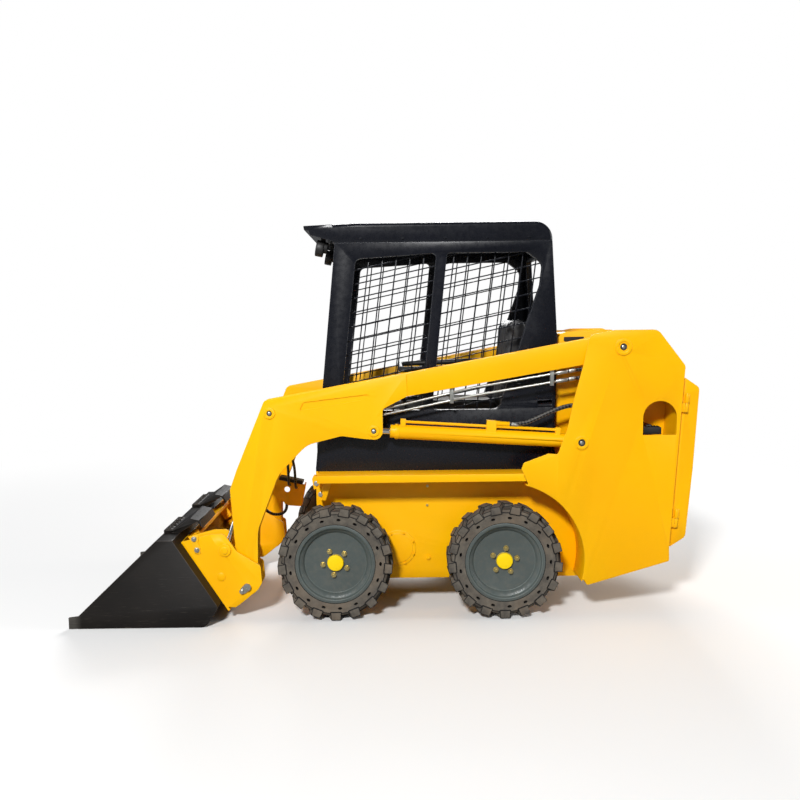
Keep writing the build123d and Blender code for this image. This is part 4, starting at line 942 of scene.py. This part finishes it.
# Rows of (radius, height): the collar, then the three crimped bands
ferrule = [(0.0, -1.0), (8.0, -1.0), (9.6, 0.6), (9.6, 9.0), (8.2, 10.0), (8.2, 13.0), (11.2, 14.5),
           (11.6, 24.0), (10.8, 25.0),
           (11.6, 26.0), (11.6, 36.0), (10.8, 37.0), (11.6, 38.0), (11.6, 47.0), (10.2, 49.0), (9.2, 49.2),
           (0.0, 49.2)]
routes, ferrules = [], []
tube_y = 480                                # the steel tubes' line, from the middle plane
for side, side_name, out in sides:
    for x, z in ((-840, 1203), (-840, 1163)):
        routes.append(([(x - 50, side * tube_y, z + 8), (x - 100, side * tube_y, z + 16),
                        (x - 165, side * tube_y, z + 21), (x - 205, side * 430, z + 18),
                        (x - 215, side * 375, z + 8)], 9))
        ferrules.append(((x - 46) / 1000, side * tube_y / 1000, (z + 7.5) / 1000, (-1.0, 0.0, 0.16)))
routes.append(([(528, 89, 496), (528, 89, 462), (562, 89, 436), (614, 89, 440), (656, 89, 478),
                (672, 89, 520),
                (672, 89, 561.7)], 8))
for (x, z), (start_x, start_z) in (((505, 605), (482, 880)), ((470, 590), (464, 888))):
    routes.append(([(start_x, 429.7, start_z), (start_x, 392, start_z), (start_x + 10, 334, start_z - 32),
                    (start_x + 16, 270, start_z - 92), (x - 4, 212, start_z - 176), (x, 178, z),
                    (x, 124, z)], 7))
hoses("boom_hoses_braided", "boom", "boom_hoses", routes)
turned("tail_ferrules", "boom", zinc, ferrule, ferrules, sides=8)
# Lift hoses in the barrel's own frame: x along it from its base pin, y out from its line, z above it
lift_hose_mm = ((347, 10, 67), (287, 10, 67), (217, 10, 101), (142, 10, 143), (67, 10, 173), (-3, 0, 179),
                (-63, -30, 157))
barrel_y = 470
barrel_lean = math.radians(3.748)
along, rise = (math.cos(barrel_lean), math.sin(barrel_lean)), (-math.sin(barrel_lean), math.cos(barrel_lean))
for side, side_name, out in sides:
    base = pivot[f"lift_barrel_{side_name}_swing"] * 1000
    line = [(base.x + x * along[0] + z * rise[0], side * (barrel_y + y), base.z + x * along[1] + z * rise[1])
            for x, y, z in lift_hose_mm]
    hoses(f"lift_hose_{side_name}_braided", f"lift_barrel_{side_name}", f"lift_hose_{side_name}",
          [(line, 10.5)])
    end = line[0]
    turned(f"lift_hose_ferrule_{side_name}", f"lift_barrel_{side_name}", zinc, ferrule,
           [((end[0] + 6) / 1000, end[1] / 1000, end[2] / 1000, (-along[0], 0.0, -along[1]))], sides=8)

# ---- Quick coupler.
# Thick plates cut and welded in machine yellow: two pairs of ears, the back plate the bucket hangs on
# and the sliding latches. Its pivot pins are bright, each kept by a bolted tab.
soften("quick_coupler", yellow_enamel, yellow_edge, edge_mm=1.8)
at = pivot["bucket_tilt"]
keepers, keeper_bolts, lever_bolts, pads = [], [], [], []
runs = []
for side, side_name, out in sides:
    keepers.append((at.x, side * 0.539, at.z, out))
    plate(f"pin_tab_{side_name}", "bucket", zinc,
          [(at.x * 1000 - 6, 190), (at.x * 1000 + 22, 178), (720, 152), (712, 136), (694, 138), (664, 158)],
          side, (527, 534), 1.5)
    keeper_bolts.append((0.706, side * 0.534, 0.150, out))
    pads.append((0.8055, side * 0.527, 0.224, out))
    plate(f"latch_lever_{side_name}", "bucket", yellow_edge,
          [(912, 432), (930, 436), (948, 428), (952, 410), (941, 392), (940, 366), (932, 346), (914, 338),
           (900, 346), (903, 372), (914, 398), (910, 416)], side, (527, 533), 2.0)
    lever_bolts += [(0.932, side * 0.533, 0.417, out), (0.919, side * 0.533, 0.362, out)]
    runs.append(ring(785, side * 527.6, 358, 31.8))
turned("coupler_pin_ends", "bucket", zinc,
       [(0.0, 5.2), (4.0, 5.2), (5.0, 4.2), (6.0, 6.0), (16.5, 6.0), (19.0, 3.6), (19.4, -1.0), (0.0, -1.0)],
       keepers)
fasten("keeper_bolts", "bucket", "chrome_rod", zinc, keeper_bolts, across_flats=0.016, head_height=0.009,
       washer_radius=0.012, stud_radius=0.004, stud_height=0.001)
fasten("lever_bolts", "bucket", "chrome_rod", zinc, lever_bolts, across_flats=0.017, head_height=0.009,
       washer_radius=0.013, stud_radius=0.005, stud_height=0.004)
turned("coupler_stops", "bucket", yellow_enamel,
       [(0.0, 5.0), (17.0, 5.0), (21.0, 3.0), (22.0, 0.0), (22.0, -1.0), (0.0, -1.0)], pads)
weld("coupler_welds", "bucket", yellow_enamel, runs, 2.2)

# ---- Bucket with its hooks.
# 10 and 12 mm wear plate in matt black, browned where soil rubs it: scratched along the digging
# direction, most of all low down, with a dull worn lip.
bucket_paint, tree, surface, place = begin_finish("matt_black_bucket_paint", IOR=1.5, Specular_IOR_Level=0.25)
broad = add(tree, "ShaderNodeTexNoise", {"Vector": place, "Scale": 1000 / 240, "Detail": 5.0})
field = add(tree, "ShaderNodeMapRange", {"Value": broad.outputs["Fac"], "From Min": 0.38, "From Max": 0.68})
base = add(tree, "ShaderNodeMix", {0: field.outputs[0], 6: linear("#120F0D"), 7: linear("#1A1613")},
           data_type="RGBA")
drag = add(tree, "ShaderNodeMapping", {"Vector": place, "Scale": (1.2, 9.0, 55.0)})
grit = add(tree, "ShaderNodeTexNoise", {"Vector": drag.outputs[0], "Scale": 9.0, "Detail": 7.0,
                                        "Roughness": 0.62})
scratch = add(tree, "ShaderNodeMapRange", {"Value": grit.outputs["Fac"], "From Min": 0.62, "From Max": 0.72})
coords = add(tree, "ShaderNodeSeparateXYZ", {"Vector": place})
low_down = add(tree, "ShaderNodeMapRange", {"Value": coords.outputs["Z"], "From Min": 0.30, "From Max": 0.0,
                                           "To Min": 0.10, "To Max": 0.7})
amount = add(tree, "ShaderNodeMath", {0: scratch.outputs[0], 1: low_down.outputs[0]}, operation="MULTIPLY")
scraped = add(tree, "ShaderNodeMix", {0: amount.outputs[0], 6: base.outputs[2], 7: linear("#6A625A")},
              data_type="RGBA")
lip = add(tree, "ShaderNodeMapRange", {"Value": coords.outputs["X"], "From Min": 1.470, "From Max": 1.505})
worn = add(tree, "ShaderNodeMath", {0: lip.outputs[0], 1: grit.outputs["Fac"]}, operation="MULTIPLY")
skin = add(tree, "ShaderNodeMix", {0: worn.outputs[0], 6: scraped.outputs[2], 7: linear("#5E5B56")},
           data_type="RGBA")
rough = add(tree, "ShaderNodeMapRange", {"Value": grit.outputs["Fac"], "From Min": 0.3, "From Max": 0.75,
                                        "To Min": 0.62, "To Max": 0.38})
dents = add(tree, "ShaderNodeBump", {"Height": grit.outputs["Fac"], "Distance": 0.0006, "Strength": 0.5})
feed(tree, surface, Base_Color=skin.outputs[2], Roughness=rough.outputs[0], Normal=dents.outputs[0])
bucket_edge = sprayed_enamel("bucket_edge_rubbed_to_steel", "#4A443F", "#2F2B28", 0.42, "#5B4D3E", 0.3)
for node in ("bucket", "bucket_hooks"):
    soften(node, bucket_paint, bucket_edge, edge_mm=2.0)

# ---- Stage, light and camera.
# Plain pale floor that fades into a white surround. A key stands above and behind the camera, with a
# weak fill at each end of the machine and a broad light on the far side.
world = bpy.data.worlds.new("studio")
bpy.context.scene.world = world
world.use_nodes = True
tree = world.node_tree
tree.nodes.clear()
path = add(tree, "ShaderNodeLightPath")
seen = add(tree, "ShaderNodeMath", {0: path.outputs["Is Camera Ray"], 1: path.outputs["Is Transmission Ray"]},
           operation="MAXIMUM")
ambient = add(tree, "ShaderNodeBackground", {"Color": linear("#F4F7FF"), "Strength": 0.16})
white = add(tree, "ShaderNodeBackground", {"Color": (1, 1, 1, 1), "Strength": 1.0})
both = add(tree, "ShaderNodeMixShader", {0: seen.outputs[0], 1: ambient.outputs[0], 2: white.outputs[0]})
add(tree, "ShaderNodeOutputWorld", {"Surface": both.outputs[0]})

floor_mesh = bpy.data.meshes.new("floor")
work = bmesh.new()
bmesh.ops.create_circle(work, cap_ends=True, segments=96, radius=14.0)
work.to_mesh(floor_mesh)
work.free()
floor = bpy.data.objects.new("floor", floor_mesh)
bpy.context.scene.collection.objects.link(floor)
floor_finish, tree, surface, place = begin_finish("pale_floor_paint", Roughness=0.9, Specular_IOR_Level=0.2)
path = add(tree, "ShaderNodeLightPath")
pale = add(tree, "ShaderNodeMix", {0: path.outputs["Is Camera Ray"], 6: linear("#9E9E9C"),
                                   7: linear("#F3F3F2")},
           data_type="RGBA")
feed(tree, surface, Base_Color=pale.outputs[2])
reach = add(tree, "ShaderNodeVectorMath", {0: place}, operation="LENGTH")
fade = add(tree, "ShaderNodeMapRange", {"Value": reach.outputs["Value"], "From Min": 2.2, "From Max": 6.0},
           interpolation_type="SMOOTHSTEP")
glow = add(tree, "ShaderNodeEmission", {"Color": (1, 1, 1, 1), "Strength": 1.0})
share = add(tree, "ShaderNodeMath", {0: fade.outputs[0], 1: path.outputs["Is Camera Ray"]},
            operation="MULTIPLY")
blend = add(tree, "ShaderNodeMixShader", {0: share.outputs[0], 1: surface.outputs[0], 2: glow.outputs[0]})
tree.links.new(blend.outputs[0], next(n for n in tree.nodes if n.type == "OUTPUT_MATERIAL").inputs["Surface"])
floor_mesh.materials.append(floor_finish)

for name, at, size, power in (("key", (2.0, 8.8, 6.0), 1.1, 1020), ("front_fill", (8.0, 0.6, 3.0), 3.5, 150),
                              ("rear_fill", (-8.0, 0.4, 3.0), 3.5, 260),
                              ("back", (-1.0, -8.0, 5.0), 3.5, 560)):
    lamp = bpy.data.lights.new(name, "AREA")
    lamp.size = size
    lamp.energy = power
    lamp_object = bpy.data.objects.new(name, lamp)
    lamp_object.location = at
    aim = Vector((0.0, 0.0, 0.8)) - Vector(at)
    lamp_object.rotation_euler = aim.to_track_quat("-Z", "Y").to_euler()
    bpy.context.scene.collection.objects.link(lamp_object)

view = bpy.data.cameras.new("view")
view.lens = 39.6
view.sensor_width = 36.0
view.shift_x = 0.01
view.shift_y = 0.03125
camera = bpy.data.objects.new("view", view)
camera.matrix_world = (Matrix.Translation((-0.042, 4.738, 1.454)) @ Matrix.Rotation(math.pi, 4, "Z")
                       @ Matrix.Rotation(math.radians(90 - 6.62), 4, "X")
                       @ Matrix.Rotation(math.radians(-0.69), 4, "Z"))
bpy.context.scene.collection.objects.link(camera)
bpy.context.scene.camera = camera
bpy.context.scene.view_settings.view_transform = "Standard"
